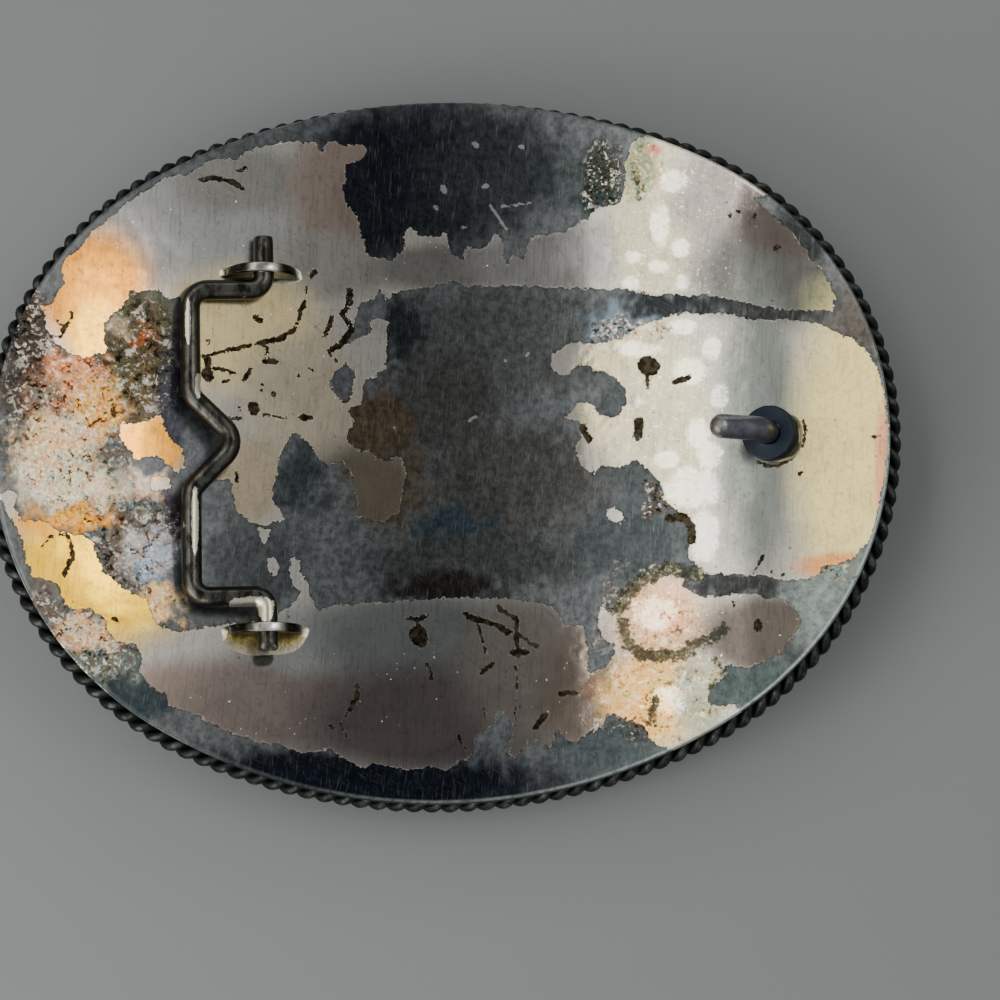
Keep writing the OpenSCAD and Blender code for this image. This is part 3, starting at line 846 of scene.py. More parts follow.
def hollow_finish():
    """The hollow side: plating with glints, worn metal, scars, crust and a painted highlight at the rim."""
    f = Finish("tarnished silver plate")
    ragged = f.noise(1.6, 4.0, 0.62, warp=0.5)
    fine = f.noise(0.50, 4.0, 0.68)
    grime = f.noise(0.8, 5.0, 0.7, shift=(0.11, 0.0, 0.0))
    clouds = f.noise(6.5, 4.0, 0.55, warp=0.6)
    mottle = f.noise(0.9, 5.0, 0.68, shift=(0.3, 0.1, 0.0))
    smudges = f.noise((1.5, 3.4, 3.0), 6.0, 0.70, turn=-6.0, shift=(0.05, 0.02, 0.0))
    _, clump, _ = f.cells(1.15, warp=0.6)
    _, grain, grain_facet = f.cells(0.36, warp=0.6)
    swirls = f.noise(2.0, 6.0, 0.70, shift=(0.0, 0.2, 0.1), warp=1.5)
    flakes = f.sum("MULTIPLY_ADD", f.channel(clump, 0), 0.22, f.sum("MULTIPLY_ADD", swirls, 1.5, -0.47))
    flakes = f.sum("MULTIPLY_ADD", f.channel(grain, 0), 0.24, flakes)
    drift = f.noise(2.6, 5.0, 0.65, shift=(0.2, 0.2, 0.0), warp=1.0)
    hue = f.sum("MULTIPLY_ADD", f.channel(grain, 1), 0.30, f.sum("MULTIPLY_ADD", drift, 2.4, -0.85))
    corroded, pebbled = f.stored("corroded"), f.stored("pebbled")

    into_worn = frayed(f, f.stored("worn"), ragged, fine, 1.7, 1.1)
    worn = f.step(into_worn, -0.02, 0.05)
    into_scar = frayed(f, f.stored("scar"), ragged, fine, 0.9, 1.0)
    scar = f.step(into_scar, -0.03, 0.06)
    left = f.step(frayed(f, f.stored("left"), ragged, fine, 0.4, 0.8), -0.03, 0.06)
    into_crust = frayed(f, f.stored("crust"), fine, grime, 2.2, 2.8)
    crust = f.step(into_crust, -0.05, 0.25)

    def flaked(tint):
        return flaked_colour(f, tint, flakes, hue)

    plating = plating_colour(f, into_worn, clouds, grime)
    glint, away = glinting(f, ragged, fine, grime, pebbled)
    # Painted highlight: the glints and sparkles are blended towards white
    plating = f.blend(f.sum("MULTIPLY", glint, 0.35), plating, paint("fffff8"))
    scaly = f.sum("MULTIPLY", f.stored("scaly"), f.step(ragged, 0.36, 0.56, 0.25, 0.9))
    scaly = f.sum("MAXIMUM", scaly, f.sum("MULTIPLY", pebbled, f.step(mottle, 0.46, 0.64, 0.0, 0.35)))
    plating = f.blend(scaly, plating, flaked(plating))
    colour = f.blend(worn, plating, worn_colour(f, into_worn, mottle, smudges, flaked, corroded))
    colour = f.blend(f.sum("MULTIPLY", left, 0.8), colour, paint("9a9b96"))
    colour = f.blend(scar, colour, f.blend(f.step(mottle, 0.42, 0.60), paint("1a160e"), paint("40382a")))
    crust_colour = f.ramp(flakes, [(0.28, paint("14140a")), (0.50, paint("34361e")), (0.66, paint("6c6a48")),
                                   (0.84, paint("c8c4a4"))])
    colour = f.blend(f.sum("MULTIPLY", crust, 0.9), colour, crust_colour)
    # Painted highlight: a teal-grey line along the rim's rounded lip
    lip = f.sum("MULTIPLY", f.stored("lip"), f.step(grime, 0.36, 0.56, 0.45, 1.0))
    colour = f.blend(lip, colour, paint("8d9894"))
    # Painted highlights: white sparkle specks over the plating
    sparkle = painted_sparkles(f, worn)
    colour = f.blend(sparkle, colour, paint("fffdf8"))
    f.set("Base Color", colour)

    dull = f.sum("MAXIMUM", f.sum("MAXIMUM", worn, scar), crust)
    f.set("Metallic", f.sum("SUBTRACT", 0.95, f.sum("MULTIPLY", f.sum("MAXIMUM", sparkle, crust), 0.5)))
    smooth = f.between(grime, 0.06, f.between(pebbled, 0.25, 0.16))
    smooth = f.between(away, smooth, f.between(grime, 0.24, 0.38))
    patina = f.between(mottle, 0.20, 0.44)
    f.set("Roughness", f.between(dull, smooth, patina))
    rise = hollow_relief(f, worn, scar, crust, flakes, corroded, pebbled, grain_facet)
    f.set("Normal", f.bump(rise, 0.00006))
    return f.material


def front_finish():
    f = Finish("polished front")
    haze = f.noise(9.0, 5.0, 0.6)
    f.set("Base Color", f.blend(f.step(haze, 0.35, 0.75), paint("c9c6bf"), paint("8f8b83")))
    f.set("Metallic", 1.0)
    f.set("Roughness", f.between(haze, 0.18, 0.36))
    f.set("Normal", f.bump(f.noise((0.15, 4.0, 4.0), 2.0, 0.5, turn=25.0), 0.00001))
    return f.material


def soft_patch(pixels, x, y, half_width, half_height):
    """One in the middle of a soft oval patch, falling away to nothing past its edge."""
    far = np.hypot((pixels[:, 0] - x) / half_width, (pixels[:, 1] - y) / half_height)
    return 1 - soft_step(far, 0.6, 1.3)


def most_of(pixels, patches):
    return np.max([soft_patch(pixels, *patch) for patch in patches], axis=0)


def ripple(pixels, size, seed, waves=12):
    """Smooth uneven values about zero over the picture, whose swells are about size pixels apart."""
    random = np.random.RandomState(seed)
    total = np.zeros(len(pixels))
    for _ in range(waves):
        angle, pitch = random.uniform(0, 2 * math.pi), 2 * math.pi / (size * random.uniform(0.7, 1.4))
        across = pixels[:, 0] * math.cos(angle) + pixels[:, 1] * math.sin(angle)
        total += np.sin(pitch * across + random.uniform(0, 2 * math.pi))
    return total / waves ** 0.5


def strayed(pixels):
    """Pixel places moved about unevenly, so that what is charted in soft ovals gets ragged outlines."""
    coarse_size, fine_size, coarse_reach, fine_reach = 34, 12, 6, 3.5
    coarse = np.stack([ripple(pixels, coarse_size, seed) for seed in (1, 2)], 1)
    fine = np.stack([ripple(pixels, fine_size, seed) for seed in (3, 4)], 1)
    return pixels + coarse_reach * coarse + fine_reach * fine


def tinted(pixels, ground, patches):
    """The colour at each pixel place: the ground with the soft patches painted over it in order."""
    colour = np.tile(paint(ground), (len(pixels), 1))
    for x, y, half_width, half_height, tint in patches:
        share = soft_patch(pixels, x, y, half_width, half_height)[:, None]
        colour = colour * (1 - share) + np.array(paint(tint)) * share
    return colour


def depth_in_strokes(pixels, strokes):
    """How far each pixel place lies inside the widest part of any stroke; negative outside them."""
    depths = [width / 2 - distance_to_path(pixels, np.array(path, float)) for width, *path in strokes]
    return np.max(depths, axis=0)


def charted_values(pixels):
    """What the chart says at each place of the hollow side; depths are in millimetres."""
    per_mm = SHOT_PIXELS_PER_METRE * MM
    worn = np.minimum(depth_in_any(pixels, WORN_AREAS), -depth_in_any(pixels, PLATING_ISLANDS))
    around = strayed(pixels)
    scars_wider, flakes_wider = 0.3, 0.4
    values = {
        "worn": worn / per_mm,
        "scar": (depth_in_strokes(pixels, SCARS) + scars_wider) / per_mm,
        "left": (depth_in_strokes(pixels, FLAKES_LEFT) + flakes_wider) / per_mm,
        "crust": depth_in_strokes(pixels, CRUSTS) / per_mm,
        "worn_tint_and_reflection": tinted(around, WORN_GROUND, WORN_TINTS_AND_REFLECTIONS),
        "plating_tint_and_reflection": tinted(pixels, PLATING_GROUND, PLATING_TINTS_AND_REFLECTIONS),
    }
    ragged = {"corroded": CORRODED, "pebbled": PEBBLED, "scaly": SCALY, "painted_sparkle_places": PAINTED_SPARKLE_PLACES}
    for name, patches in ragged.items():
        values[name] = most_of(around, patches)
    values["glint"] = most_of(pixels, GLINTS)
    values["lit"] = soft_step(pixels[:, 0], *BAND_FROM) * soft_step(pixels[:, 0], *BAND_TO)
    return values


def painted_lip_highlight(plate, points, pixels):
    """The painted highlight line just inside the rim, strongest at the lower right: one on it and zero
    elsewhere.
    """
    outline, _ = four_arcs(plate.length, plate.width, plate.end_radius, 180)
    inset = distance_to_path(points[:, :2], np.concatenate([outline, outline[:1]])) / MM
    line = soft_step(inset, *LIP_INNER_MM) * soft_step(inset, *LIP_OUTER_MM)
    across = LIP_FAINTEST + (1 - LIP_FAINTEST) * soft_step(pixels[:, 0], *LIP_ACROSS)
    return line * soft_step(pixels[:, 1], *LIP_DOWN) * across


class BuckleMakePlate(bpy.types.Operator):
    """Makes the dished plate with its tarnished hollow side"""
    bl_idname = "buckle.make_plate"
    bl_label = "Plate"

    def execute(self, context):
        plate = context.scene.buckle_plate
        points, faces, on_front = plate_points(plate)
        piece = make_piece("dished_plate", points, faces, "buckle", ["plate"])
        piece.data.materials.append(hollow_finish())
        piece.data.materials.append(front_finish())
        piece.data.polygons.foreach_set("material_index", on_front.astype(np.int32))
        pixels = to_pixels(points)
        for name, values in charted_values(pixels).items():
            keep_values(piece, name, values)
        keep_values(piece, "lip", painted_lip_highlight(plate, points, pixels))
        return {"FINISHED"}


def rope_finish(rope):
    f = Finish("blackened rope wire")
    crest = f.stored("crest")
    rub = f.noise(1.1, 4.0, 0.6)
    bright = f.step(f.sum("MULTIPLY_ADD", f.sum("SUBTRACT", rub, 0.5), 0.40, crest), 0.94, 1.06)
    f.set("Base Color", f.blend(bright, tuple(rope.colour), tuple(rope.crest_colour)))
    f.set("Metallic", 0.8)
    f.set("Roughness", f.between(f.noise(0.4, 3.0), 0.36, 0.62))
    f.set("Normal", f.bump(f.noise(0.3, 3.0), 0.00004))
    return f.material


class BuckleMakeRope(bpy.types.Operator):
    """Makes the two twisted wires round the rim"""
    bl_idname = "buckle.make_rope"
    bl_label = "Rope edge"

    def execute(self, context):
        plate = context.scene.buckle_plate
        rope = context.scene.buckle_rope
        rings_a_knot, sides = 12, 12
        rings = rope.knots * rings_a_knot
        flat, _ = four_arcs(rope.length, rope.width, rope.end_radius, rings)
        x, y = flat[:, 0], flat[:, 1]
        middle = np.column_stack([flat, dish_height(plate, x, y, rope.drop)])
        along = np.roll(middle, -1, 0) - np.roll(middle, 1, 0)
        along /= np.linalg.norm(along, axis=1)[:, None]
        up = dish_up(plate, x, y, rope.drop)
        out = np.cross(along, up)
        turn = np.arange(rings) / rings * rope.knots * math.pi
        wire = rope.thickness / 4
        points, faces, crests = [], [], []
        for start in (0.0, math.pi):
            lean = np.cos(turn + start)[:, None] * out + np.sin(turn + start)[:, None] * up
            strand = middle + wire * lean
            closed = np.concatenate([strand[-1:], strand, strand[:1]])
            outer = np.concatenate([lean[-1:], lean, lean[:1]])
            tube = swept_tube(closed, np.full(rings + 2, wire), sides, outer)[1:-1]
            base = sum(len(p) for p in points)
            for i in range(rings):
                faces += band_faces(base + i * sides, base + (i + 1) % rings * sides, sides)
            crests.append(np.linalg.norm(tube - middle[:, None, :], axis=2).ravel() / (2 * wire))
            points.append(tube.reshape(-1, 3))
        points = np.concatenate(points)
        piece = make_piece("rope_edge_wires", points, faces, "buckle", ["rope_edge"])
        piece.data.materials.append(rope_finish(rope))
        keep_values(piece, "crest", np.concatenate(crests))
        return {"FINISHED"}


def ear_finish():
    f = Finish("dark ear metal")
    clouds = f.noise(1.4, 5.0, 0.6)
    bright = f.step(f.noise(2.6, 2.0, 0.5, shift=(0.4, 0.0, 0.0)), 0.24, 0.66)
    colour = f.blend(f.step(clouds, 0.40, 0.70), paint("0f0e0b"), paint("3d3b30"))
    # Painted highlight: the top of the ear's arch is painted near white
    f.set("Base Color", f.blend(f.sum("MULTIPLY", bright, f.stored("highlight_and_wear")), colour, paint("efede2")))
    f.set("Metallic", 0.9)
    f.set("Roughness", f.between(clouds, 0.12, 0.34))
    f.set("Normal", f.bump(f.noise(0.5, 3.0), 0.00003))
    return f.material


def solder_finish(name, near, middle, far, ends):
    """Solder that changes colour from its foot outwards and at the two ends of its run."""
    f = Finish(name)
    clouds = f.noise(1.0, 5.0, 0.65)
    fine = f.noise(0.4, 3.0)
    stray = f.sum("MULTIPLY", f.sum("SUBTRACT", clouds, 0.5), 1.3)
    colour = f.ramp(f.sum("ADD", f.stored("spread"), stray), [
        (0.05, paint(near)), (0.40, paint(middle)), (0.85, paint(far))])
    at_end = f.step(f.sum("ADD", f.stored("ends"), stray), 0.35, 0.80)
    f.set("Base Color", f.blend(at_end, colour, paint(ends)))
    f.set("Metallic", 0.85)
    f.set("Roughness", f.between(fine, 0.22, 0.5))
    f.set("Normal", f.bump(fine, 0.00008))
    return f.material


def ear_mesh(fit):
    """Points and faces of one half-round ear, upright over its foot, with rounded edges and its hole."""
    count, sunk, soft = 96, 0.0005, 0.00022
    radius, half, hole, rise = fit.ear_radius, fit.ear_thickness / 2, fit.ear_hole, fit.pivot_height
    angle = np.arange(count) / count * 2 * math.pi
    ray = np.stack([np.cos(angle), np.sin(angle)], 1)
    lift = rise * ray[:, 1]
    reach = -lift + np.sqrt(lift ** 2 + radius ** 2 - rise ** 2)
    corner = rise + ray[:, 1] * reach
    down = np.where(ray[:, 1] < -1e-6, (rise + sunk) / np.maximum(-ray[:, 1], 1e-6), 1.0)
    sideways = radius / np.maximum(np.abs(ray[:, 0]), 1e-6)
    reach = np.where(corner >= 0, reach, np.minimum(down, sideways))
    rounding = [math.radians(a) for a in (0, 45, 90)]
    bend = [(soft * (1 - math.cos(a)), half - soft * (1 - math.sin(a))) for a in rounding]
    rings = [(hole + inset, height, "hole") for inset, height in bend]
    rings += [(inset, height, "edge") for inset, height in reversed(bend)]
    loops = rings + [(d, -h, kind) for d, h, kind in reversed(rings)]
    points = []
    for distance, height, kind in loops:
        r = np.full(count, distance) if kind == "hole" else reach - distance
        points.append(np.column_stack([ray[:, 0] * r, np.full(count, height), rise + ray[:, 1] * r]))
    faces = []
    for i in range(len(loops)):
        faces += band_faces(i * count, (i + 1) % len(loops) * count, count)
    return np.concatenate(points), faces


def fillet_mesh(plate, place, foot, spread, height, seed):
    """A run of solder round a foot, given as half length and half width, that spreads over the plate
    by three lengths: past its ends, above it and below it. Makes its points and faces, how far out
    each point lies and how near it is to an end of the run."""
    count, squareness = 96, 2.6
    random = np.random.RandomState(seed)
    angle = np.arange(count) / count * 2 * math.pi
    cosine, sine = np.cos(angle), np.sin(angle)
    wobble = np.zeros(count)
    for k in range(2, 9):
        wobble += random.uniform(-1, 1) * np.cos(k * angle + random.uniform(0, 6.3)) / k
    size = (np.abs(cosine) ** squareness + np.abs(sine) ** squareness) ** (-1 / squareness)
    points = []
    steps = [(0.0, 1.0), (0.12, 0.72), (0.28, 0.42), (0.5, 0.2), (0.75, 0.07), (1.0, -0.03)]
    for share, level in steps:
        long = foot[0] + share * spread[0]
        wide = foot[1] + share * np.where(sine < 0, spread[2], spread[1])
        grow = 1 + 0.06 * share * wobble
        x = place[0] + long * cosine * size * grow
        y = place[1] + wide * sine * size * grow
        z = dish_height(plate, x, y) + level * height * (1 - 0.35 * np.abs(cosine) ** 4)
        points.append(np.column_stack([x, y, z]))
    faces = tube_faces(len(steps), count)
    out = np.repeat([share for share, _ in steps], count)
    ends = np.tile(np.abs(cosine) ** 10, len(steps))
    return np.concatenate(points), faces, out, ends


def make_solder(plate, name, finish, place, foot, spread, height, seed):
    points, faces, out, ends = fillet_mesh(plate, place, foot, spread, height, seed)
    run = make_piece(name, points, faces, "buckle", ["plate"])
    run.data.materials.append(finish)
    keep_values(run, "spread", out)
    keep_values(run, "ends", ends)


def leaning(points, angle):
    """Points turned about the Y axis, so that what stands upright leans towards +X by the angle."""
    x, y, z = points.T
    cosine, sine = math.cos(angle), math.sin(angle)
    return np.column_stack([x * cosine + z * sine, y, -x * sine + z * cosine])


class BuckleMakeEars(bpy.types.Operator):
    """Makes the two ears and the solder round their feet"""
    bl_idname = "buckle.make_ears"
    bl_label = "Ears"

    def execute(self, context):
        plate = context.scene.buckle_plate
        fit = context.scene.buckle_fittings
        metal = ear_finish()
        solders = {"upper": solder_finish("pale solder", "14130d", "5c5a44", "d0ccb0", "f6f3dc"),
                   "lower": solder_finish("olive solder", "4a3f1c", "8c7d45", "a8a190", "e6e0c2")}
        lean = math.asin(fit.ear_x / dish_ring(plate, fit.ear_y, 0.0))
        foot = float(dish_height(plate, -fit.ear_x, fit.ear_y))
        lapped, past_ends, height = 0.0002, 0.0009, 0.0009
        highlight_from, highlight_to = 0.0006, 0.0028
        under = (fit.ear_radius - lapped, fit.ear_thickness / 2 - lapped)
        for name, side, above, below in (("upper", 1, 1.3, 0.9), ("lower", -1, 0.8, 3.3)):
            points, faces = ear_mesh(fit)
            y = fit.ear_shift + side * fit.ear_y
            placed = leaning(points, lean) + (-fit.ear_x, y, foot)
            ear = make_piece(f"ear_{name}", placed, faces, "buckle", ["plate"])
            ear.data.materials.append(metal)
            # Painted highlight along the top of the ear's arch
            keep_values(ear, "highlight_and_wear", 1 - soft_step(np.abs(points[:, 0]), highlight_from, highlight_to))
            spread = (past_ends, above * MM, below * MM)
            place = (-fit.ear_x, y)
            make_solder(plate, f"solder_{name}", solders[name], place, under, spread, height, 4 + side)
        return {"FINISHED"}


def stud_finish(fit):
    f = Finish("blued stud")
    clouds = f.noise(2.0, 5.0, 0.6)
    scuffs = f.step(f.noise((0.25, 3.0, 3.0), 3.0, 0.6, turn=20.0), 0.62, 0.75)
    along = f.stored("along_rod")
    flecks = f.step(f.noise(0.5, 5.0, 0.7, shift=(0.0, 0.4, 0.0)), 0.42, 0.58)
    # The rod is painted lighter than the foot, and lighter still towards its end, as painted reflection
    rod = f.blend(f.step(clouds, 0.35, 0.7), paint("444650"), paint("5f626c"))
    rod = f.blend(f.step(along, 0.70, 0.95), rod, paint("77706a"))
    foot = f.blend(f.step(clouds, 0.35, 0.7), tuple(fit.stud_colour), paint("1b232c"))
    colour = f.blend(f.step(along, 0.0, 0.10), foot, rod)
    # Painted highlights on the rod, in near-white flecks
    bright = f.sum("MULTIPLY", f.between(flecks, 0.3, 0.6), f.stored("highlight_and_wear"))
    colour = f.blend(bright, colour, paint("c8ccd0"))
    colour = f.blend(f.sum("MULTIPLY", scuffs, 0.30), colour, paint("8f9498"))
    f.set("Base Color", colour)
    f.set("Metallic", 0.8)
    f.set("Roughness", f.between(clouds, 0.28, 0.44))
    f.set("Normal", f.bump(f.noise(0.35, 3.0), 0.00003))
    return f.material


def rod_path(fit, start):
    """The middle line of the stud's rod and its radius along it: up, over and along to its round end."""
    top = fit.foot_height + fit.rod_rise
    path = [(0.0, 0.0, z) for z in np.linspace(start, top, 5)]
    for a in np.linspace(0, fit.rod_angle, 13)[1:]:
        over = fit.rod_bend_radius * (1 - math.cos(a))
        path.append((-over, 0.0, top + fit.rod_bend_radius * math.sin(a)))
    way = np.array([-math.sin(fit.rod_angle), 0.0, math.cos(fit.rod_angle)])
    bend_end = np.array(path[-1])
    path += [tuple(bend_end + s * way) for s in np.linspace(0, fit.rod_reach, 12)[1:]]
    radii = [fit.rod_radius] * len(path)
    tip_start = np.array(path[-1])
    smallest = 0.00002
    for a in np.linspace(0, math.pi / 2, 10)[1:]:
        path.append(tuple(tip_start + fit.rod_radius * math.sin(a) * way))
        radii.append(max(fit.rod_radius * math.cos(a), smallest))
    return np.array(path), np.array(radii)


def stud_mesh(fit):
    """Points and faces of the stud, upright on its foot, and how far along the rod each point lies."""
    sides, soft, sunk, seam, seam_height = 48, 0.00025, 0.0004, 0.0003, 0.0001
    profile = [(fit.foot_radius, -sunk), (fit.foot_radius, fit.foot_height - soft)]
    profile += [(fit.foot_radius - soft * (1 - math.cos(a)), fit.foot_height - soft * (1 - math.sin(a)))
                for a in (math.radians(30), math.radians(60), math.radians(90))]
    profile.append((fit.rod_radius + seam, fit.foot_height))
    profile.append((fit.rod_radius + seam_height, fit.foot_height + seam_height))
    angle = np.arange(sides) / sides * 2 * math.pi
    circle = np.column_stack([np.cos(angle), np.sin(angle)])
    points = [np.column_stack([r * circle, np.full(sides, z)]) for r, z in profile]
    path, radii = rod_path(fit, fit.foot_height + seam)
    points += list(swept_tube(path, radii, sides, np.array([0.0, 1.0, 0.0])))
    rings = len(points)
    points = np.concatenate(points)
    rod_from = len(profile) * sides
    faces = tube_faces(len(profile), sides)
    faces += tube_faces(rings - len(profile), sides, rod_from)
    faces.append(tuple(range((rings - 1) * sides, rings * sides)))
    along = np.zeros(len(points))
    along[rod_from:] = np.linspace(0, 1, len(points) - rod_from)
    return points, faces, along


class BuckleMakeStud(bpy.types.Operator):
    """Makes the hook stud on its round foot, and the ring of solder under it"""
    bl_idname = "buckle.make_stud"
    bl_label = "Hook stud"

    def execute(self, context):
        plate = context.scene.buckle_plate
        fit = context.scene.buckle_fittings
        lean = math.asin(fit.stud_x / dish_ring(plate, 0.0, 0.0))
        foot_z = float(dish_height(plate, fit.stud_x, 0.0))
        points, faces, along = stud_mesh(fit)
        placed = leaning(points, -lean) + (fit.stud_x, 0.0, foot_z)
        stud = make_piece("hook_stud", placed, faces, "buckle", ["plate"])
        stud.data.materials.append(stud_finish(fit))
        keep_values(stud, "along_rod", along)
        keep_values(stud, "highlight_and_wear", most_of(to_pixels(placed), STUD_HIGHLIGHTS) * (along > 0))
        finish = solder_finish("grey solder", "34342a", "605e4a", "7a765c", "8a866c")
        lapped, spread, height = 0.0008, (0.0005, 0.0005, 0.0006), 0.0003
        off_x, off_y = 0.0005, -0.0004
        place = (fit.stud_x + off_x, off_y)
        under = (fit.foot_radius - lapped, fit.foot_radius - lapped)
        make_solder(plate, "solder_stud", finish, place, under, spread, height, 9)
        return {"FINISHED"}


def bail_finish(bail):
    f = Finish("dark bail wire")
    clouds = f.noise((1.6, 3.0, 1.6), 5.0, 0.62)
    # Painted highlights and plating left on the wire, both in the worn colour
    edge = f.sum("MULTIPLY_ADD", f.sum("SUBTRACT", f.noise(0.8, 5.0, 0.65), 0.5), 1.6, f.stored("highlight_and_wear"))
    left = f.sum("MAXIMUM", f.step(edge, 0.42, 0.56), f.step(clouds, 0.66, 0.70, 0.0, 0.5))
    # Painted sheen: the wire is painted lighter where it faces the eye and darker towards its outline,
    # standing in for its reflection
    sheen = f.blend(f.step(clouds, 0.36, 0.60), paint("22221f"), paint("55544e"))
    oxide = f.blend(f.facing(0.06, 0.36), sheen, tuple(bail.colour))
    f.set("Base Color", f.blend(left, oxide, tuple(bail.worn_colour)))
    f.set("Metallic", 0.9)
    f.set("Roughness", f.between(clouds, 0.18, 0.38))
    f.set("Normal", f.bump(f.noise(0.5, 3.0), 0.00002))
    return f.material


def bent_path(corners, spacing):
    """Points along straight runs joined by round bends; each corner is x, y and its bend radius."""
    bend_steps = 14
    flat = [np.array(c[:2]) for c in corners]
    path = [flat[0]]

    def run_to(end):
        start = path[-1]
        steps = max(1, int(round(np.linalg.norm(end - start) / spacing)))
        path.extend(start + (end - start) * k / steps for k in range(1, steps + 1))

    bends = [c[2] for c in corners[1:-1]]
    for before, corner, after, radius in zip(flat[:-2], flat[1:-1], flat[2:], bends):
        into = (corner - before) / np.linalg.norm(corner - before)
        away = (after - corner) / np.linalg.norm(after - corner)
        turn = math.atan2(into[0] * away[1] - into[1] * away[0], into @ away)
        back = radius * math.tan(abs(turn) / 2)
        run_to(corner - back * into)
        start = path[-1]
        side = math.copysign(1.0, turn)
        inward = side * np.array([-into[1], into[0]])
        for k in range(1, bend_steps + 1):
            a = abs(turn) * k / bend_steps
            path.append(start + radius * (math.sin(a) * into + (1 - math.cos(a)) * inward))
    run_to(flat[-1])
    return np.array(path)


def bail_mesh(bail):
    """Points and faces of the bail's wire, level, with its hinge on the Y axis."""
    pin_bend, bar_bend, notch_bend, tip_bend = 0.0018, 0.0025, 0.003, 0.0029
    spacing, sides, soft = 0.0006, 32, 0.00018
    upper = [
        (0.0, bail.pin_end, 0.0), (0.0, bail.arm_y, pin_bend), (-bail.reach, bail.arm_y, bar_bend),
        (-bail.reach, bail.notch, notch_bend),
    ]
    lower = [(x, -y, radius) for x, y, radius in reversed(upper)]
    flat = bent_path([*upper, (bail.notch - bail.reach, 0.0, tip_bend), *lower], spacing)
    path = np.column_stack([flat, np.zeros(len(flat))])
    radii = np.full(len(path), bail.wire_radius)
    for end, inward in ((0, 1), (-1, -1)):
        radii[end] -= soft
        run = path[end + inward] - path[end]
        path[end + inward] = path[end] + soft * run / np.linalg.norm(run)
    tube = swept_tube(path, radii, sides, np.array([0.0, 0.0, 1.0])).reshape(-1, 3)
    last = (len(path) - 1) * sides
    caps = [tuple(range(sides - 1, -1, -1)), tuple(range(last, last + sides))]
    return tube, tube_faces(len(path), sides) + caps


class BuckleMakeBail(bpy.types.Operator):
    """Makes the bent wire bail, hinged in the ears"""
    bl_idname = "buckle.make_bail"
    bl_label = "Bail"

    def execute(self, context):
        plate = context.scene.buckle_plate
        fit = context.scene.buckle_fittings
        bail = context.scene.buckle_bail
        tube, faces = bail_mesh(bail)
        lean = math.asin(fit.ear_x / dish_ring(plate, fit.ear_y, 0.0))
        pivot_x = -fit.ear_x + fit.pivot_height * math.sin(lean)
        pivot_z = float(dish_height(plate, -fit.ear_x, fit.ear_y)) + fit.pivot_height * math.cos(lean)
        placed = leaning(tube, bail.lift) + (pivot_x, bail.shift, pivot_z)
        piece = make_piece("bail_wire", placed, faces, "bail", ["bail"])
        piece.data.materials.append(bail_finish(bail))
        keep_values(piece, "highlight_and_wear", most_of(to_pixels(placed), BAIL_HIGHLIGHTS_AND_WEAR))
        return {"FINISHED"}


def placed_by(x_axis, y_axis, z_axis, place):
    return Matrix([[x_axis[i], y_axis[i], z_axis[i], place[i]] for i in range(3)] + [[0, 0, 0, 1]])


def soft_lamp(name, towards, distance, across, along, brightness, colour, spin=0.0):
    """A flat rectangular lamp that faces the buckle; across and along are its sides."""
    lamp = bpy.data.lights.new(name, "AREA")
    lamp.shape = "RECTANGLE"
    lamp.size = across
    lamp.size_y = along
    lamp.energy = brightness * math.pi * across * along
    lamp.color = colour
    way = np.array(towards) / np.linalg.norm(towards)
    y_axis = np.array([math.sin(spin), math.cos(spin), 0.0])
    x_axis = np.cross(y_axis, way)
    x_axis /= np.linalg.norm(x_axis)
    y_axis = np.cross(way, x_axis)
    placed = bpy.data.objects.new(name, lamp)
    bpy.context.scene.collection.objects.link(placed)
    placed.matrix_world = placed_by(x_axis, y_axis, way, way * distance)


def soft_room(stage):
    """Even light all round, growing stronger towards the right."""
    room = bpy.data.worlds.new("room")
    room.use_nodes = True
    nodes, links = room.node_tree.nodes, room.node_tree.links
    split = nodes.new("ShaderNodeSeparateXYZ")
    links.new(nodes.new("ShaderNodeTexCoord").outputs["Generated"], split.inputs[0])
    growing = nodes.new("ShaderNodeMapRange")
    growing.interpolation_type = "SMOOTHSTEP"
    links.new(split.outputs["X"], growing.inputs["Value"])
    left, right = stage.room_light, 1.8 * stage.room_light
    for socket, number in zip(growing.inputs[1:], (0.10, 0.42, left, right)):
        socket.default_value = number
    background = nodes["Background"]
    background.inputs["Color"].default_value = (0.94, 0.97, 1.0, 1.0)
    links.new(growing.outputs["Result"], background.inputs["Strength"])
    return room


def make_floor(stage):
    half = 3.0
    mesh = bpy.data.meshes.new("floor")
    corners = [(-half, -half, 0), (half, -half, 0), (half, half, 0), (-half, half, 0)]
    mesh.from_pydata(corners, [], [(0, 1, 2, 3)])
    floor = bpy.data.objects.new("floor", mesh)
    bpy.context.scene.collection.objects.link(floor)
    f = Finish("matt floor")
    f.set("Base Color", tuple(stage.floor_colour))
    f.set("Roughness", 0.85)
    mesh.materials.append(f.material)


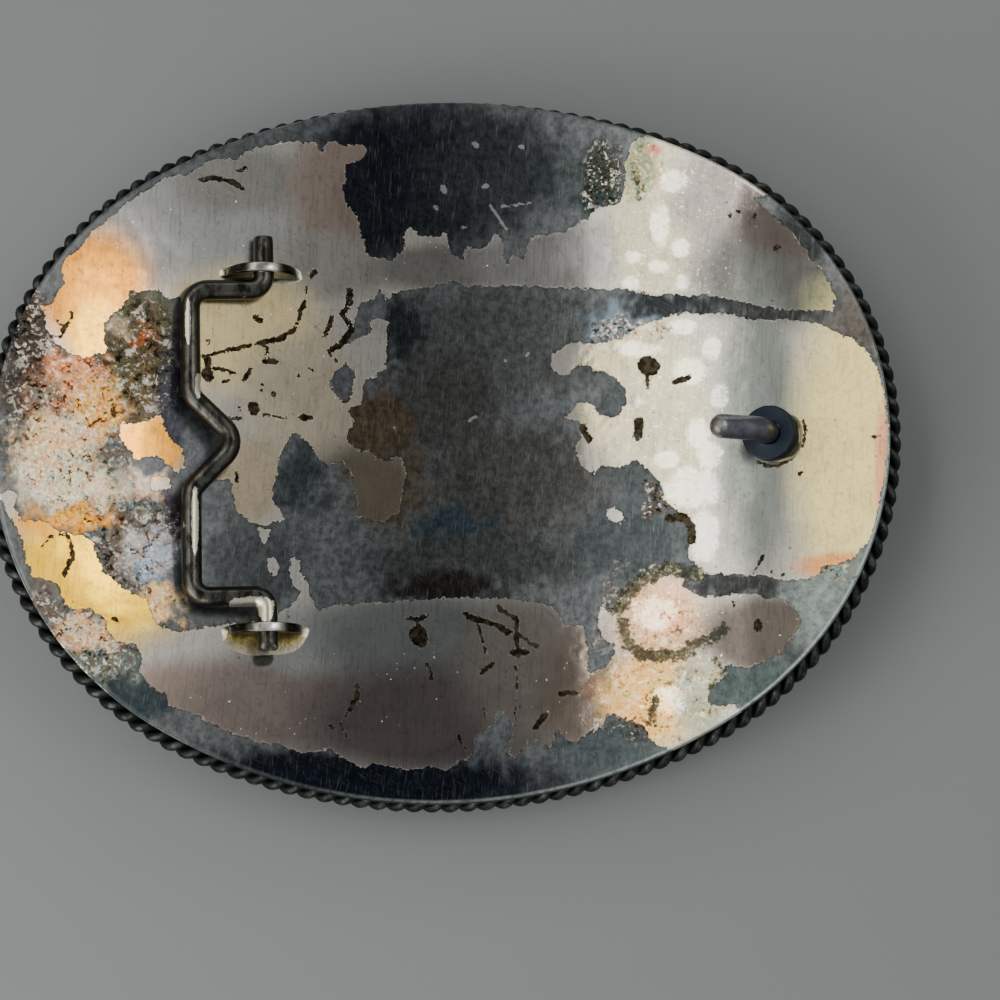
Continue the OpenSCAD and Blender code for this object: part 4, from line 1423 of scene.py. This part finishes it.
def make_lamps(stage):
    """The lamps, each with its direction and distance from the buckle, its two sides, its brightness
    and its colour."""
    card, key = stage.card_light, stage.key_light
    soft_lamp("strip_lamp", (-0.40, 0.17, 0.90), 0.75, 0.155, 0.80, stage.strip_light, (1.0, 0.99, 0.94))
    soft_lamp("grey_card", (-0.566, 0.17, 0.806), 0.90, 0.10, 1.00, 0.42 * card, (0.92, 1.0, 1.0))
    soft_lamp("warm_card", (-0.72, 0.17, 0.67), 0.90, 0.28, 1.00, card, (1.0, 0.93, 0.74))
    soft_lamp("right_card", (0.69, 0.17, 0.70), 0.90, 0.34, 1.00, 0.6 * card, (1.0, 0.88, 0.64))
    soft_lamp("back_lamp", (0.05, 0.83, 0.56), 0.90, 0.80, 0.22, 0.4 * key, (1.0, 1.0, 1.0))
    soft_lamp("side_lamp", (0.516, 0.17, 0.83), 0.75, 0.09, 0.30, stage.side_light, (1.0, 0.97, 0.93))
    soft_lamp("key_lamp", (-0.66, -0.56, 0.50), 0.40, 0.32, 0.24, key, (1.0, 0.99, 0.97), spin=0.9)


def make_camera():
    place, right, up, back = shot_axes()
    lens = bpy.data.cameras.new("camera")
    lens.sensor_width = SENSOR
    lens.lens = SENSOR * SHOT_PIXELS_PER_METRE * SHOT_DISTANCE / PHOTO_WIDTH
    lens.clip_start = 0.01
    camera = bpy.data.objects.new("camera", lens)
    bpy.context.scene.collection.objects.link(camera)
    camera.matrix_world = placed_by(right, up, back, place)
    bpy.context.scene.camera = camera


class BuckleMakeStage(bpy.types.Operator):
    """Makes the floor, the lamps and the camera"""
    bl_idname = "buckle.make_stage"
    bl_label = "Stage"

    def execute(self, context):
        stage = context.scene.buckle_stage
        make_floor(stage)
        context.scene.world = soft_room(stage)
        make_lamps(stage)
        make_camera()
        return {"FINISHED"}


class BucklePanel(bpy.types.Panel):
    """Lists the buckle's pieces and their sizes"""
    bl_idname = "VIEW3D_PT_buckle"
    bl_label = "Western belt buckle"
    bl_space_type = "VIEW_3D"
    bl_region_type = "UI"
    bl_category = "Buckle"

    def draw(self, context):
        for group, operator in STEPS:
            box = self.layout.box()
            box.operator(operator)
            settings = getattr(context.scene, group)
            for key in settings.__annotations__:
                box.prop(settings, key)


GROUPS = {
    "buckle_plate": BucklePlateSizes,
    "buckle_rope": BuckleRopeSizes,
    "buckle_fittings": BuckleFittingSizes,
    "buckle_bail": BuckleBailSizes,
    "buckle_stage": BuckleStageSettings,
}
# The sizes or settings that each operator reads, in the order in which they are called
STEPS = (
    ("buckle_plate", "buckle.make_plate"),
    ("buckle_rope", "buckle.make_rope"),
    ("buckle_fittings", "buckle.make_ears"),
    ("buckle_fittings", "buckle.make_stud"),
    ("buckle_bail", "buckle.make_bail"),
    ("buckle_stage", "buckle.make_stage"),
)
CLASSES = (
    *GROUPS.values(), BuckleMakePlate, BuckleMakeRope, BuckleMakeEars, BuckleMakeStud, BuckleMakeBail,
    BuckleMakeStage, BucklePanel,
)


def register():
    for made in CLASSES:
        bpy.utils.register_class(made)
    for name, group in GROUPS.items():
        setattr(bpy.types.Scene, name, bpy.props.PointerProperty(type=group))


def unregister():
    for name in GROUPS:
        delattr(bpy.types.Scene, name)
    for made in reversed(CLASSES):
        bpy.utils.unregister_class(made)


def main():
    register()
    for _, operator in STEPS:
        family, step = operator.split(".")
        getattr(getattr(bpy.ops, family), step)()


if __name__ == "__main__":
    main()
